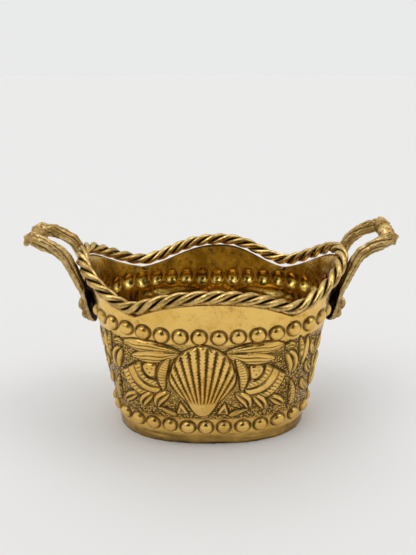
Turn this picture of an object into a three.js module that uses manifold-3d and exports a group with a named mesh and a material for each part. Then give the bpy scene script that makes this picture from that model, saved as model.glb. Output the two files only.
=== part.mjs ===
// Oval brass planter pot, millimetres, +Z up.
// Origin: centre of the underside of the base. +X runs to one handle, +Y to the back.
import * as THREE from "three";
import { mergeVertices } from "three/addons/utils/BufferGeometryUtils.js";
import Module from "manifold-3d";

const manifold = await Module();
manifold.setup();

// ---- driving dimensions ----------------------------------------------------------

// Sheet brass and the gap that is left between neighbouring pieces.
const sheetThickness = 1.0;
const gap = 0.3;

// Oval body: half sizes at the foot, how far the sides lean out, how square the oval is.
const footHalfLength = 69.0;
const footHalfWidth = 42.6;
const lengthLean = 0.135;
const widthLean = 0.139;
const ovalPower = 2.4;
const endFlare = 2.2;

// Scalloped rim: a lobe at the front, the back and each end, with a valley between. The
// middle and the valleys of the front and back lobes are shares of the half length.
const valleyHeight = 101.0;
const endLobeRise = 23.6;
const endLobePower = 1.15;
const flareDrop = 23.4;
const frontLobe = {
  middle: 0, leftValley: 0.605, rightValley: 0.605, rise: 13.0,
  shape: (share) => 1 - share ** 2.2,
};
const backLobe = {
  middle: 0.09, leftValley: 0.64, rightValley: 0.70, rise: 14.3,
  shape: (share) => (1 + Math.cos(Math.PI * share ** 1.12)) / 2,
};

// Two rows of pressed beads. Each row rises a little towards the ends of the oval.
const beadRadius = 5.0;
const beadHeight = 3.0;
const upperRowDrop = 11.6;
const lowerRowHeight = 15.0;
const upperRow = {
  perWall: 18, height: valleyHeight - upperRowDrop, endRise: 4.3, frontShift: -2.8, backShift: -0.8,
};
const lowerRow = {
  perWall: 15, height: lowerRowHeight, endRise: 3.0, frontShift: -5.0, backShift: 5.0,
};

// Base plate.
const baseThickness = 1.2;

// Twisted rope along the rim: three wires, each a ring that closes on itself.
const strandCount = 3;
const strandRadius = 1.9;
const strandGap = 0.3;
const layAllowance = 1.025;
const ropeTurns = 15;
const ropeSmoothing = 7.0 * Math.PI / 180;
const ropeToRimGap = 0.8;

// Solder tacks under the rope.
const tackRadius = 1.6;
const tackHeight = 3.4;

// Cast handles: a leaf-shaped plate, two arms and a knotted grip.
const plateHalfWidth = 18.5;
const plateAboveBeads = 2.3;
const plateDrop = 18.5;
const plateRise = 17.0;
const plateThickness = 5.0;
const armRadius = 4.0;
const armHalfSpacing = 16.0;
const armRootHalfSpacing = 14.0;
const armRootDepth = 4.5;
const armToRopeGap = 1.3;
const gripRadius = 6.0;
const gripHalfLength = 11.0;
const handleReach = 32.6;
const gripRise = 12.0;
const rightGripTilt = 3.5;
const knotRadius = 5.2;

// Copper rivets: two above and one below on each plate, with a round rove inside.
const rivetHeadRadius = 2.5;
const rivetHeadHeight = 1.7;
const rivetShankRadius = 1.3;
const upperRivetRise = 9.5;
const upperRivetHalfSpacing = 7.5;
const lowerRivetDrop = 10.0;
const roveRadius = 3.25;
const roveThickness = 1.0;
const peenRadius = 2.0;
const peenHeight = 0.8;

// Mesh fineness.
const wallColumns = 32;
const wallRows = 3;
const beadSides = 6;
const strandSteps = 135;
const strandSides = 5;
const armSteps = 22;
const armSides = 8;

// ---- finishes ----------------------------------------------------------------------

function metal(name, color, roughness) {
  const material = new THREE.MeshStandardMaterial({ color, roughness, metalness: 1.0 });
  material.name = name;
  return material;
}

const pressedBrass = () => metal("pressed_brass", 0xb58a3a, 0.34);
const ropeBrass = () => metal("rope_brass", 0xa88645, 0.38);
const castBrass = () => metal("cast_brass", 0x9a7a4a, 0.46);
const copper = () => metal("copper", 0x8c4a2c, 0.45);
const solder = () => metal("solder", 0x8f8468, 0.5);

// ---- outline of the pot --------------------------------------------------------------

// Half sizes of the outer face at a height.
function halfLengthAt(z) {
  const flareShare = Math.max(1 - (valleyHeight + endLobeRise - z) / flareDrop, 0);
  return footHalfLength + lengthLean * z + endFlare * flareShare * flareShare;
}

function halfWidthAt(z) {
  return footHalfWidth + widthLean * z;
}

// Point of the rounded oval at angle t, with the outer face moved out by `offset`.
function bodyPoint(t, z, offset) {
  const cos = Math.cos(t);
  const sin = Math.sin(t);
  const x = (halfLengthAt(z) + offset) * Math.sign(cos) * Math.abs(cos) ** (2 / ovalPower);
  const y = (halfWidthAt(z) + offset) * Math.sign(sin) * Math.abs(sin) ** (2 / ovalPower);
  return new THREE.Vector3(x, y, z);
}

// Angle from the end of the oval to a share of its half length.
function angleAtShare(share) {
  return Math.acos(share ** (ovalPower / 2));
}

// Height of the cut edge of the sheet at angle t.
function rimHeight(t) {
  const side = Math.sin(t) < 0 ? frontLobe : backLobe;
  const lengthShare = Math.sign(Math.cos(t)) * Math.abs(Math.cos(t)) ** (2 / ovalPower);
  const valley = lengthShare < 0 ? side.leftValley : side.rightValley;
  if (Math.abs(lengthShare) <= valley) {
    const reach = lengthShare < side.middle ? side.leftValley + side.middle : side.rightValley - side.middle;
    return valleyHeight + side.rise * side.shape(Math.abs(lengthShare - side.middle) / reach);
  }
  const widthShare = (Math.abs(Math.sin(t)) / Math.sin(angleAtShare(valley))) ** (2 / ovalPower);
  const lobe = Math.max(Math.cos(widthShare * Math.PI / 2), 0) ** endLobePower;
  return valleyHeight + endLobeRise * lobe;
}

// ---- solids --------------------------------------------------------------------------

// Signed volume of an indexed closed mesh.
function signedVolume(geometry) {
  const position = geometry.attributes.position;
  const corners = [new THREE.Vector3(), new THREE.Vector3(), new THREE.Vector3()];
  let volume = 0;
  for (let i = 0; i < geometry.index.count; i += 3) {
    corners.forEach((corner, k) => corner.fromBufferAttribute(position, geometry.index.getX(i + k)));
    volume += corners[0].dot(corners[1].cross(corners[2])) / 6;
  }
  return volume;
}

// Merges shared corners and turns the faces outwards.
function closed(geometry) {
  geometry.deleteAttribute("normal");
  geometry.deleteAttribute("uv");
  const merged = mergeVertices(geometry, 1e-4);
  if (signedVolume(merged) < 0) {
    merged.index.array.reverse();
  }
  return merged;
}

function toSolid(geometry) {
  const merged = closed(geometry);
  return new manifold.Manifold(new manifold.Mesh({
    numProp: 3,
    vertProperties: new Float32Array(merged.attributes.position.array),
    triVerts: new Uint32Array(merged.index.array),
  }));
}

function toGeometry(solid) {
  const mesh = solid.getMesh();
  const geometry = new THREE.BufferGeometry();
  geometry.setAttribute("position", new THREE.BufferAttribute(mesh.vertProperties, 3));
  geometry.setIndex(new THREE.BufferAttribute(mesh.triVerts, 1));
  return geometry;
}

// Closed sheet between an outer and an inner face, each a function of two shares.
function sheetGeometry(outerAt, innerAt, columns, rows) {
  const points = [];
  for (const face of [outerAt, innerAt]) {
    for (let i = 0; i <= columns; i++) {
      for (let j = 0; j <= rows; j++) {
        points.push(face(i / columns, j / rows));
      }
    }
  }
  const faceSize = (columns + 1) * (rows + 1);
  const at = (face, i, j) => face * faceSize + i * (rows + 1) + j;
  const index = [];
  const quad = (a, b, c, d) => index.push(a, b, c, a, c, d);
  for (let i = 0; i < columns; i++) {
    for (let j = 0; j < rows; j++) {
      quad(at(0, i, j), at(0, i + 1, j), at(0, i + 1, j + 1), at(0, i, j + 1));
      quad(at(1, i, j), at(1, i, j + 1), at(1, i + 1, j + 1), at(1, i + 1, j));
    }
    quad(at(0, i + 1, 0), at(0, i, 0), at(1, i, 0), at(1, i + 1, 0));
    quad(at(0, i, rows), at(0, i + 1, rows), at(1, i + 1, rows), at(1, i, rows));
  }
  for (let j = 0; j < rows; j++) {
    quad(at(0, 0, j), at(0, 0, j + 1), at(1, 0, j + 1), at(1, 0, j));
    quad(at(0, columns, j + 1), at(0, columns, j), at(1, columns, j), at(1, columns, j + 1));
  }
  const geometry = new THREE.BufferGeometry().setFromPoints(points);
  geometry.setIndex(index);
  return geometry;
}

// Turns a piece so that its own +Z points along `direction`, and moves it to `place`.
function aim(geometry, place, direction) {
  const turn = new THREE.Quaternion().setFromUnitVectors(new THREE.Vector3(0, 0, 1), direction);
  geometry.applyQuaternion(turn);
  return geometry.translate(place.x, place.y, place.z);
}

// Solid of revolution about Z from [radius, height] corners that start and end on the axis.
function turned(corners, sides) {
  const profile = corners.map(([radius, height]) => new THREE.Vector2(radius, height));
  return new THREE.LatheGeometry(profile, sides).rotateX(Math.PI / 2);
}

// ---- walls ---------------------------------------------------------------------------

// Angles of one row of beads on one wall, spaced by length along the sheet.
// The shift moves the middle of the row along X and fades out towards the seams.
function beadAngles(row, side) {
  const samples = 720;
  const lengths = [0];
  const angleAt = (k) => side * Math.PI * k / samples;
  for (let k = 1; k <= samples; k++) {
    const last = bodyPoint(angleAt(k - 1), row.height, 0);
    lengths.push(lengths[k - 1] + bodyPoint(angleAt(k), row.height, 0).distanceTo(last));
  }
  const half = lengths[samples] / 2;
  const shift = side < 0 ? row.frontShift : row.backShift;
  const angles = [];
  for (let bead = 0; bead < row.perWall; bead++) {
    const even = half * (2 * bead + 1) / row.perWall;
    const fade = 1 - ((even - half) / half) ** 2;
    const length = even - shift * fade;
    const k = lengths.findIndex((value) => value >= length);
    angles.push(angleAt(k));
  }
  return angles;
}

// A pressed bead is a low dome whose foot is sunk into the sheet.
function beadDome(t, row) {
  const endShare = Math.abs(Math.cos(t)) ** (2 / ovalPower);
  const z = row.height + row.endRise * endShare ** 2;
  const sink = sheetThickness / 2;
  const shoulder = beadHeight * 0.7;
  const corners = [
    [0, -sink], [beadRadius, -sink], [beadRadius, 0], [beadRadius * 0.7, shoulder], [0, beadHeight],
  ];
  const place = bodyPoint(t, z, 0);
  const along = bodyPoint(t + 0.01, z, 0).sub(bodyPoint(t - 0.01, z, 0));
  const up = bodyPoint(t, z + 1, 0).sub(bodyPoint(t, z - 1, 0));
  const outward = along.cross(up).normalize();
  return toSolid(aim(turned(corners, beadSides), place, outward));
}

// Half of the body: side is -1 for the front wall and +1 for the back wall.
function wallGeometry(side) {
  const face = (offset) => (columnShare, rowShare) => {
    const t = side * Math.PI * columnShare;
    const point = bodyPoint(t, rimHeight(t) * rowShare, offset);
    point.y = side * Math.max(Math.abs(point.y), gap / 2);
    return point;
  };
  let wall = toSolid(sheetGeometry(face(0), face(-sheetThickness), wallColumns, wallRows));
  for (const row of [upperRow, lowerRow]) {
    for (const t of beadAngles(row, side)) {
      wall = wall.add(beadDome(t, row));
    }
  }
  for (const end of [1, -1]) {
    for (const place of rivetPlaces()) {
      wall = wall.subtract(rivetHole(place, end));
    }
  }
  return toGeometry(wall);
}

function baseGeometry() {
  const inset = sheetThickness + gap;
  const outline = [];
  for (let k = 0; k < 2 * wallColumns; k++) {
    const point = bodyPoint(Math.PI * k / wallColumns, 0, -inset);
    outline.push(new THREE.Vector2(point.x, point.y));
  }
  const shape = new THREE.Shape(outline);
  return closed(new THREE.ExtrudeGeometry(shape, { depth: baseThickness, bevelEnabled: false }));
}

// ---- rope ----------------------------------------------------------------------------

// Three round wires that almost touch; the allowance is for their slant across the rope.
const helixRadius = layAllowance * (2 * strandRadius + strandGap) / (2 * Math.sin(Math.PI / strandCount));
const ropeRadius = helixRadius + strandRadius;

// Rim height averaged a little to each side, so that the rope bridges the valleys.
function smoothRim(t) {
  const samples = 6;
  let total = 0;
  for (let k = -samples; k <= samples; k++) {
    total += rimHeight(t + ropeSmoothing * k / samples);
  }
  return total / (2 * samples + 1);
}

// Middle of the rope at angle t: square above the sloping edge and clear of it.
function ropeCentre(t) {
  const step = 0.02;
  const before = bodyPoint(t - step, smoothRim(t - step), 0);
  const after = bodyPoint(t + step, smoothRim(t + step), 0);
  const run = Math.hypot(after.x - before.x, after.y - before.y);
  const slope = Math.atan2(after.z - before.z, run);
  const lift = (ropeRadius + ropeToRimGap) / Math.cos(slope);
  const z = smoothRim(t) + lift;
  return bodyPoint(t, z, -sheetThickness / 2);
}

function ropePath() {
  const knots = 96;
  const points = [];
  for (let k = 0; k < knots; k++) {
    points.push(ropeCentre(2 * Math.PI * k / knots));
  }
  const path = new THREE.CatmullRomCurve3(points, true);
  path.arcLengthDivisions = 1200;
  return path;
}

// One wire: a left-hand helix round the rope's middle line.
class StrandCurve extends THREE.Curve {
  constructor(path, phase) {
    super();
    this.path = path;
    this.phase = phase;
  }

  getPoint(share) {
    const u = share - Math.floor(share);
    const centre = this.path.getPointAt(u);
    const tangent = this.path.getTangentAt(u);
    const outward = new THREE.Vector3(centre.x, centre.y, 0);
    outward.addScaledVector(tangent, -outward.dot(tangent)).normalize();
    const across = new THREE.Vector3().crossVectors(tangent, outward);
    const angle = this.phase - 2 * Math.PI * ropeTurns * u;
    centre.addScaledVector(outward, helixRadius * Math.cos(angle));
    return centre.addScaledVector(across, helixRadius * Math.sin(angle));
  }
}

function strandGeometry(number, path) {
  const curve = new StrandCurve(path, 2 * Math.PI * number / strandCount);
  return closed(new THREE.TubeGeometry(curve, strandSteps, strandRadius, strandSides, true));
}

// Tacks sit inside the sheet's edge, against the rope's lower inner side.
function tackGeometry(t) {
  const edge = smoothRim(t);
  const place = bodyPoint(t, edge - tackHeight / 2, -sheetThickness - gap - tackRadius);
  const blob = new THREE.SphereGeometry(1, 8, 6).scale(tackRadius, tackRadius, tackHeight / 2);
  return closed(blob.translate(place.x, place.y, place.z));
}

// ---- handles -------------------------------------------------------------------------

// Directions of the end wall at y = 0: out of the sheet, and up along it.
const leanAngle = Math.atan(lengthLean);
const plateOut = new THREE.Vector3(Math.cos(leanAngle), 0, -Math.sin(leanAngle));
const plateUp = new THREE.Vector3(Math.sin(leanAngle), 0, Math.cos(leanAngle));
const plateStandOff = beadHeight + gap;
const plateMiddleHeight = upperRow.height + upperRow.endRise + plateAboveBeads;

// Point on the plate's own grid: across in Y, up along the wall, out of the sheet.
function platePoint(across, up, out) {
  const point = new THREE.Vector3(halfLengthAt(plateMiddleHeight), across, plateMiddleHeight);
  point.addScaledVector(plateUp, up);
  return point.addScaledVector(plateOut, out);
}

function plateSolid() {
  const leaf = new THREE.Shape();
  leaf.moveTo(0, -plateDrop);
  for (const side of [1, -1]) {
    const wide = side * plateHalfWidth;
    if (side > 0) {
      leaf.bezierCurveTo(0.55 * wide, -plateDrop, wide, -0.35 * plateDrop, wide, 0.45 * plateRise);
      leaf.bezierCurveTo(wide, 1.05 * plateRise, 0.8 * wide, plateRise, 0, plateRise);
    } else {
      leaf.bezierCurveTo(0.8 * wide, plateRise, wide, 1.05 * plateRise, wide, 0.45 * plateRise);
      leaf.bezierCurveTo(wide, -0.35 * plateDrop, 0.55 * wide, -plateDrop, 0, -plateDrop);
    }
  }
  const slab = new THREE.ExtrudeGeometry(leaf, {
    depth: plateThickness, bevelEnabled: false, curveSegments: 6,
  });
  const frame = new THREE.Matrix4().makeBasis(new THREE.Vector3(0, 1, 0), plateUp, plateOut);
  frame.setPosition(platePoint(0, 0, plateStandOff));
  return toSolid(slab.applyMatrix4(frame));
}

// Middle of the grip: out past the rope and above it.
function gripCentre() {
  const rope = ropeCentre(0);
  return new THREE.Vector3(rope.x + ropeRadius + handleReach - gripRadius, 0, rope.z + gripRise);
}

// Middle line of the arms and grip, from one root over the grip to the other root.
// The tilt lifts the grip's back end.
function armPoints(tilt) {
  const rope = ropeCentre(0);
  const spacingShare = armHalfSpacing / halfWidthAt(rope.z);
  const ropeBeside = rope.x * (1 - spacingShare ** ovalPower) ** (1 / ovalPower);
  const passing = ropeBeside + ropeRadius + armRadius + armToRopeGap;
  const gripX = gripCentre().x;
  const plateMiddle = plateStandOff + plateThickness / 2;
  const root = platePoint(armRootHalfSpacing, plateRise - armRootDepth, plateMiddle);
  const run = gripX - passing;
  const side = [
    root,
    new THREE.Vector3(passing, armHalfSpacing, rope.z),
    new THREE.Vector3(passing + 0.33 * run, armHalfSpacing, rope.z + 0.66 * gripRise),
    new THREE.Vector3(passing + 0.66 * run, armHalfSpacing - 1, rope.z + 0.94 * gripRise),
    new THREE.Vector3(gripX, gripHalfLength, rope.z + gripRise),
  ];
  const mirrored = side.map((point) => new THREE.Vector3(point.x, -point.y, point.z)).reverse();
  side.forEach((point, k) => {
    point.z += tilt * Math.max(k - 1, 0) / (side.length - 2);
  });
  return [...side, ...mirrored];
}

function tubeSolid(points, radius, steps) {
  const section = new THREE.Shape().absarc(0, 0, radius, 0, 2 * Math.PI);
  const path = new THREE.CatmullRomCurve3(points);
  const options = { steps, extrudePath: path, curveSegments: armSides / 2 };
  return toSolid(new THREE.ExtrudeGeometry(section, options));
}

function knotSolid(x, y, z) {
  return toSolid(new THREE.IcosahedronGeometry(knotRadius, 1).translate(x, y, z));
}

function handleGeometry(tilt) {
  const grip = gripCentre();
  const gripSpots = [-gripHalfLength, 0, gripHalfLength];
  const liftAt = (y) => tilt * (y + gripHalfLength) / (2 * gripHalfLength);
  const gripEnds = gripSpots.map((y) => new THREE.Vector3(grip.x, y, grip.z + liftAt(y)));
  let handle = plateSolid().add(tubeSolid(armPoints(tilt), armRadius, armSteps));
  handle = handle.add(tubeSolid(gripEnds, gripRadius, 4));
  for (const side of [1, -1]) {
    const end = side * gripHalfLength;
    handle = handle.add(knotSolid(grip.x, end, grip.z + liftAt(end)));
    handle = handle.add(knotSolid(grip.x - gripRadius / 2, end / 2, grip.z + liftAt(end / 2) - 1));
  }
  for (const place of rivetPlaces()) {
    handle = handle.subtract(rivetHole(place, 1));
  }
  return toGeometry(handle);
}

// ---- rivets --------------------------------------------------------------------------

function rivetPlaces() {
  return [
    { name: "upper_front", across: -upperRivetHalfSpacing, up: upperRivetRise },
    { name: "upper_back", across: upperRivetHalfSpacing, up: upperRivetRise },
    { name: "lower", across: 0, up: -lowerRivetDrop },
  ];
}

// How far the curved wall's inner face lies behind the plate's zero plane at a rivet.
function wallBehind(place) {
  const onPlate = platePoint(place.across, place.up, 0);
  const share = Math.abs(place.across) / halfWidthAt(onPlate.z);
  const wallX = halfLengthAt(onPlate.z) * (1 - share ** ovalPower) ** (1 / ovalPower);
  return (onPlate.x - wallX) * Math.cos(leanAngle) + sheetThickness;
}

// Hole through plate and wall; end is +1 for the right handle and -1 for the left one.
function rivetHole(place, end) {
  const length = 4 * plateThickness;
  const radius = rivetShankRadius + gap;
  const cutter = new THREE.CylinderGeometry(radius, radius, length, 10).rotateX(Math.PI / 2);
  aim(cutter, platePoint(place.across, place.up, 0), plateOut);
  if (end < 0) {
    cutter.rotateZ(Math.PI);
  }
  return toSolid(cutter);
}

function rivetGeometry(place) {
  const outerFace = plateStandOff + plateThickness + gap;
  const innerFace = -wallBehind(place) - 2 * gap - roveThickness;
  const corners = [
    [0, innerFace - peenHeight],
    [peenRadius * 0.7, innerFace - peenHeight],
    [peenRadius, innerFace - gap],
    [rivetShankRadius, innerFace - gap],
    [rivetShankRadius, outerFace],
    [rivetHeadRadius, outerFace],
    [rivetHeadRadius * 0.75, outerFace + rivetHeadHeight * 0.7],
    [0, outerFace + rivetHeadHeight],
  ];
  return closed(aim(turned(corners, 10), platePoint(place.across, place.up, 0), plateOut));
}

function roveGeometry(place) {
  const near = -wallBehind(place) - gap - roveThickness;
  const hole = rivetShankRadius + gap;
  const corners = [
    [hole, near], [roveRadius, near], [roveRadius, near + roveThickness],
    [hole, near + roveThickness], [hole, near],
  ];
  return closed(aim(turned(corners, 12), platePoint(place.across, place.up, 0), plateOut));
}

// ---- assembly ------------------------------------------------------------------------

function piece(name, geometry, material) {
  const mesh = new THREE.Mesh(geometry, material);
  mesh.name = name;
  return mesh;
}

function walls() {
  const group = new THREE.Group();
  group.add(piece("front_wall", wallGeometry(-1), pressedBrass()));
  group.add(piece("back_wall", wallGeometry(1), pressedBrass()));
  group.add(piece("base_plate", baseGeometry(), pressedBrass()));
  return group;
}

function rope() {
  const group = new THREE.Group();
  const path = ropePath();
  for (let number = 0; number < strandCount; number++) {
    group.add(piece(`rope_strand_${number + 1}`, strandGeometry(number, path), ropeBrass()));
  }
  const tackAngles = [
    angleAtShare(backLobe.rightValley), Math.PI / 2, Math.PI - angleAtShare(backLobe.leftValley),
    Math.PI + angleAtShare(frontLobe.leftValley), 3 * Math.PI / 2,
    2 * Math.PI - angleAtShare(frontLobe.rightValley),
  ];
  tackAngles.forEach((t, k) => {
    group.add(piece(`rope_tack_${k + 1}`, tackGeometry(t), solder()));
  });
  return group;
}

// The left handle is the right one turned half round, without its tilt.
function handle(end, turn, tilt) {
  const group = new THREE.Group();
  group.rotation.z = turn;
  group.add(piece(`${end}_handle`, handleGeometry(tilt), castBrass()));
  for (const place of rivetPlaces()) {
    group.add(piece(`${end}_rivet_${place.name}`, rivetGeometry(place), copper()));
    group.add(piece(`${end}_rove_${place.name}`, roveGeometry(place), copper()));
  }
  return group;
}

const planter = new THREE.Group();
planter.add(walls());
planter.add(rope());
planter.add(handle("right", 0, rightGripTilt));
planter.add(handle("left", Math.PI, 0));

export default planter;
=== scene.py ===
"""Aged brass planter pot with a pressed shell and leaf band, a roped rim and cast twig handles.

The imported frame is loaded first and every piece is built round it. Sizes inside the classes
are in millimetres; a mesh is turned into metres when it is made. +X runs to the right
handle, +Y to the back, +Z up, and the middle of the foot is the origin.
"""
import logging
import math
from dataclasses import dataclass, field
from enum import Enum

import bpy
import numpy as np
from bpy.types import Material, Mesh, NodeSocket, Object, World
from mathutils import Matrix, Vector


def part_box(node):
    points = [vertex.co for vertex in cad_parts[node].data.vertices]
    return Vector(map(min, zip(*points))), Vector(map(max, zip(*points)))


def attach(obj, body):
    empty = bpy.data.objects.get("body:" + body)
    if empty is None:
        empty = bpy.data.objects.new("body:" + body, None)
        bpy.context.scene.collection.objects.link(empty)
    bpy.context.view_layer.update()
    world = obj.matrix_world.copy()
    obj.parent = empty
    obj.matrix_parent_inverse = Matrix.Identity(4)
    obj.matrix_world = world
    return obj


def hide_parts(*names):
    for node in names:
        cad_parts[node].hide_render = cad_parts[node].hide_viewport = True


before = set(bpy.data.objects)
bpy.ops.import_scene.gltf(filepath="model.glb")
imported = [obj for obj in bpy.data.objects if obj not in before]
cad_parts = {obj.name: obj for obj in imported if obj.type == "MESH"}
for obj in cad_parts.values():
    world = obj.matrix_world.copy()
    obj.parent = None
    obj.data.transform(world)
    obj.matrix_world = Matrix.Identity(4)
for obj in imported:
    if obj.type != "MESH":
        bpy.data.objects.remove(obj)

Array = np.ndarray
Triple = tuple[float, float, float]
Skin = tuple[Array, list]      # points, and groups of faces that each have one face size
Window = tuple[slice, slice]   # columns and rows of a grid

MM = 0.001
BODY = "root"
FULL_TURN = 2 * np.pi
HASH_WEIGHTS = (12.9898, 78.233, 37.719, 93.989)
HASH_GAIN = 43758.5453
NOISE_SHIFT = 31.7
DOT_SHIFT = 17.3
DOT_MARGIN = 0.15
TINY = 1e-12
log = logging.getLogger("planter")


# ---- small number helpers ----

def smooth(low: float, high: float, value: Array) -> Array:
    """Smooth step: 0 below low, 1 above high, with a 3s^2 - 2s^3 ramp of the share s between.

    Args:
        low: Value where the ramp starts.
        high: Value where the ramp ends; it may lie below low for a falling ramp.
        value: Numbers to map.
    Returns:
        The ramp's value for each number.
    """
    share = np.clip((value - low) / (high - low), 0.0, 1.0)
    return share * share * (3.0 - 2.0 * share)


def bell(distance: Array, width: float) -> Array:
    """Bell curve exp(-(distance / width)^2)."""
    return np.exp(-(distance / width) ** 2)


def hash_unit(*cells: Array) -> Array:
    """Repeatable random numbers from 0 to 1 for whole-number cells.

    The cells are weighted, put through a sine and multiplied up; the fraction is the result.

    Args:
        cells: Arrays of whole numbers of one shape.
    Returns:
        One number from 0 to 1 for each entry.
    """
    mixed = sum(weight * cell for weight, cell in zip(HASH_WEIGHTS, cells))
    return np.modf(np.abs(np.sin(mixed) * HASH_GAIN))[0]


def value_noise(points: Array, size: float, seed: float = 0.0) -> Array:
    """Soft noise from -1 to 1: random values on a cubic lattice, blended by smooth weights.

    Args:
        points: Points in the last axis, two or three numbers each.
        size: Lattice spacing in the points' unit.
        seed: Offset that picks another pattern.
    Returns:
        One number for each point.
    """
    scaled = points / size + NOISE_SHIFT * seed
    cell = np.floor(scaled)
    part = scaled - cell
    weight = part * part * (3.0 - 2.0 * part)
    total = np.zeros(points.shape[:-1])
    axes = points.shape[-1]
    for corner in range(2 ** axes):
        offset = np.array([(corner >> axis) & 1 for axis in range(axes)], float)
        share = np.prod(np.where(offset > 0, weight, 1.0 - weight), axis=-1)
        spot = cell + offset
        total += share * hash_unit(*[spot[..., axis] for axis in range(axes)])
    return 2.0 * total - 1.0


def cell_distance(points: Array, size: float, seed: float = 0.0) -> Array:
    """Distance to the nearest of a scatter of dots, one at a random place in each square cell.

    Args:
        points: Points in the last axis, two or three numbers each.
        size: Cell width in the points' unit.
        seed: Offset that picks another scatter.
    Returns:
        Distance in cell widths.
    """
    scaled = points / size + DOT_SHIFT * seed
    cell = np.floor(scaled)
    axes = points.shape[-1]
    best = np.full(points.shape[:-1], np.inf)
    for number in range(3 ** axes):
        step = np.array([(number // 3 ** axis) % 3 - 1 for axis in range(axes)], float)
        spot = cell + step
        keys = [spot[..., axis] for axis in range(axes)]
        squares = np.zeros_like(best)
        for axis in range(axes):
            draw = hash_unit(*keys, np.full_like(keys[0], axis + 1.0))
            dot = keys[axis] + DOT_MARGIN + (1 - 2 * DOT_MARGIN) * draw
            squares += (scaled[..., axis] - dot) ** 2
        best = np.minimum(best, np.sqrt(squares))
    return best


def spline(points: list[tuple[float, ...]], count: int, closed: bool = False) -> Array:
    """Catmull-Rom curve through given points: each stretch is the cubic set by four of them.

    Args:
        points: Points that the curve goes through.
        count: Number of places along it.
        closed: Whether it runs back to its first point.
    Returns:
        Array of count places.
    """
    knots = np.array(points, float)
    if closed:
        padded = np.vstack([knots[-1], knots, knots[0], knots[1]])
        spans = len(knots)
        share = np.arange(count) / count * spans
    else:
        padded = np.vstack([2 * knots[0] - knots[1], knots, 2 * knots[-1] - knots[-2]])
        spans = len(knots) - 1
        share = np.linspace(0.0, spans, count)
    start = np.minimum(share.astype(int), spans - 1)
    u = (share - start)[:, None]
    a, b, c, d = (padded[start + k] for k in range(4))
    square, cube = 2 * a - 5 * b + 4 * c - d, 3 * b - a - 3 * c + d
    return 0.5 * (2 * b + (c - a) * u + square * u ** 2 + cube * u ** 3)


def angles(count: int) -> Array:
    """Evenly spaced angles of a full turn, from 0."""
    return np.arange(count) / count * FULL_TURN


def rounded(unit: Array, power: float) -> Array:
    """Share of a half size on a rounded oval: sign(u) |u|^(2 / n), u being a cosine or a sine."""
    return np.sign(unit) * np.abs(unit) ** (2 / power)


# ---- meshes ----

def link(piece: Object) -> None:
    """Puts an object into the scene."""
    bpy.context.scene.collection.objects.link(piece)


def mesh_piece(name: str, points: Array, faces: list[Array],
               marks: dict[str, Array] | None = None, flat: bool = False) -> Object:
    """Makes an object from millimetre points and faces, with float marks on its vertices.

    Args:
        name: Piece name.
        points: Vertex places, N by 3, in millimetres.
        faces: Arrays of vertex numbers, each of one face size.
        marks: Attribute name to one number per vertex.
        flat: Whether faces are shaded flat.
    Returns:
        The linked object, at the origin.
    """
    mesh = bpy.data.meshes.new(name)
    faces = [np.asarray(group) for group in faces if len(group)]
    corners = np.concatenate([group.ravel() for group in faces])
    sizes = np.concatenate([np.full(len(group), group.shape[1]) for group in faces])
    mesh.vertices.add(len(points))
    mesh.vertices.foreach_set("co", (np.asarray(points) * MM).astype(np.float32).ravel())
    mesh.loops.add(len(corners))
    mesh.loops.foreach_set("vertex_index", corners.astype(np.int32))
    mesh.polygons.add(len(sizes))
    mesh.polygons.foreach_set("loop_start", (np.cumsum(sizes) - sizes).astype(np.int32))
    mesh.polygons.foreach_set("use_smooth", np.full(len(sizes), not flat))
    mesh.update(calc_edges=True)
    for mark, values in (marks or {}).items():
        layer = mesh.attributes.new(mark, "FLOAT", "POINT")
        layer.data.foreach_set("value", np.asarray(values, np.float32).ravel())
    piece = bpy.data.objects.new(name, mesh)
    link(piece)
    return piece


def grid_faces(columns: int, rows: int, wrap_columns: bool = False, wrap_rows: bool = False,
               first: int = 0) -> Array:
    """Quads of a grid of points numbered column by column, facing columns x rows.

    Args:
        columns: Number of point columns.
        rows: Number of points in each column.
        wrap_columns: Whether the last column joins the first.
        wrap_rows: Whether the last row joins the first.
        first: Number of the grid's first point.
    Returns:
        Array of quads.
    """
    starts = np.arange(columns - (not wrap_columns)), np.arange(rows - (not wrap_rows))
    i, j = (number.ravel() for number in np.meshgrid(*starts, indexing="ij"))
    i_next, j_next = (i + 1) % columns, (j + 1) % rows
    quads = np.stack([i * rows + j, i_next * rows + j, i_next * rows + j_next, i * rows + j_next], 1)
    return quads + first


def ring_fan(first: int, sides: int, tip: int, step: int = 1) -> Array:
    """Triangles that join a ring of points to a tip.

    Args:
        first: Number of the ring's first point.
        sides: Points round the ring.
        tip: Number of the tip.
        step: How far apart the ring's points are numbered.
    Returns:
        Array of triangles: ring point, following ring point, tip.
    """
    turn = np.arange(sides)
    return np.stack([first + step * turn, first + step * ((turn + 1) % sides), np.full(sides, tip)], 1)


def ring_frames(path: Array, up: Array, closed: bool) -> tuple[Array, Array]:
    """Two unit directions square to a path at each place, from a guide direction.

    The first is the guide with its share along the path taken out; the second is the cross
    product of the path's direction and the first.

    Args:
        path: Places along the path.
        up: Guide direction for each place.
        closed: Whether the path runs back to its start.
    Returns:
        The two arrays of directions.
    """
    if closed:
        along = np.roll(path, -1, 0) - np.roll(path, 1, 0)
    else:
        along = np.gradient(path, axis=0)
    along /= np.linalg.norm(along, axis=1, keepdims=True)
    side = up - (up * along).sum(1, keepdims=True) * along
    side /= np.linalg.norm(side, axis=1, keepdims=True)
    return side, np.cross(along, side)


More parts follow.
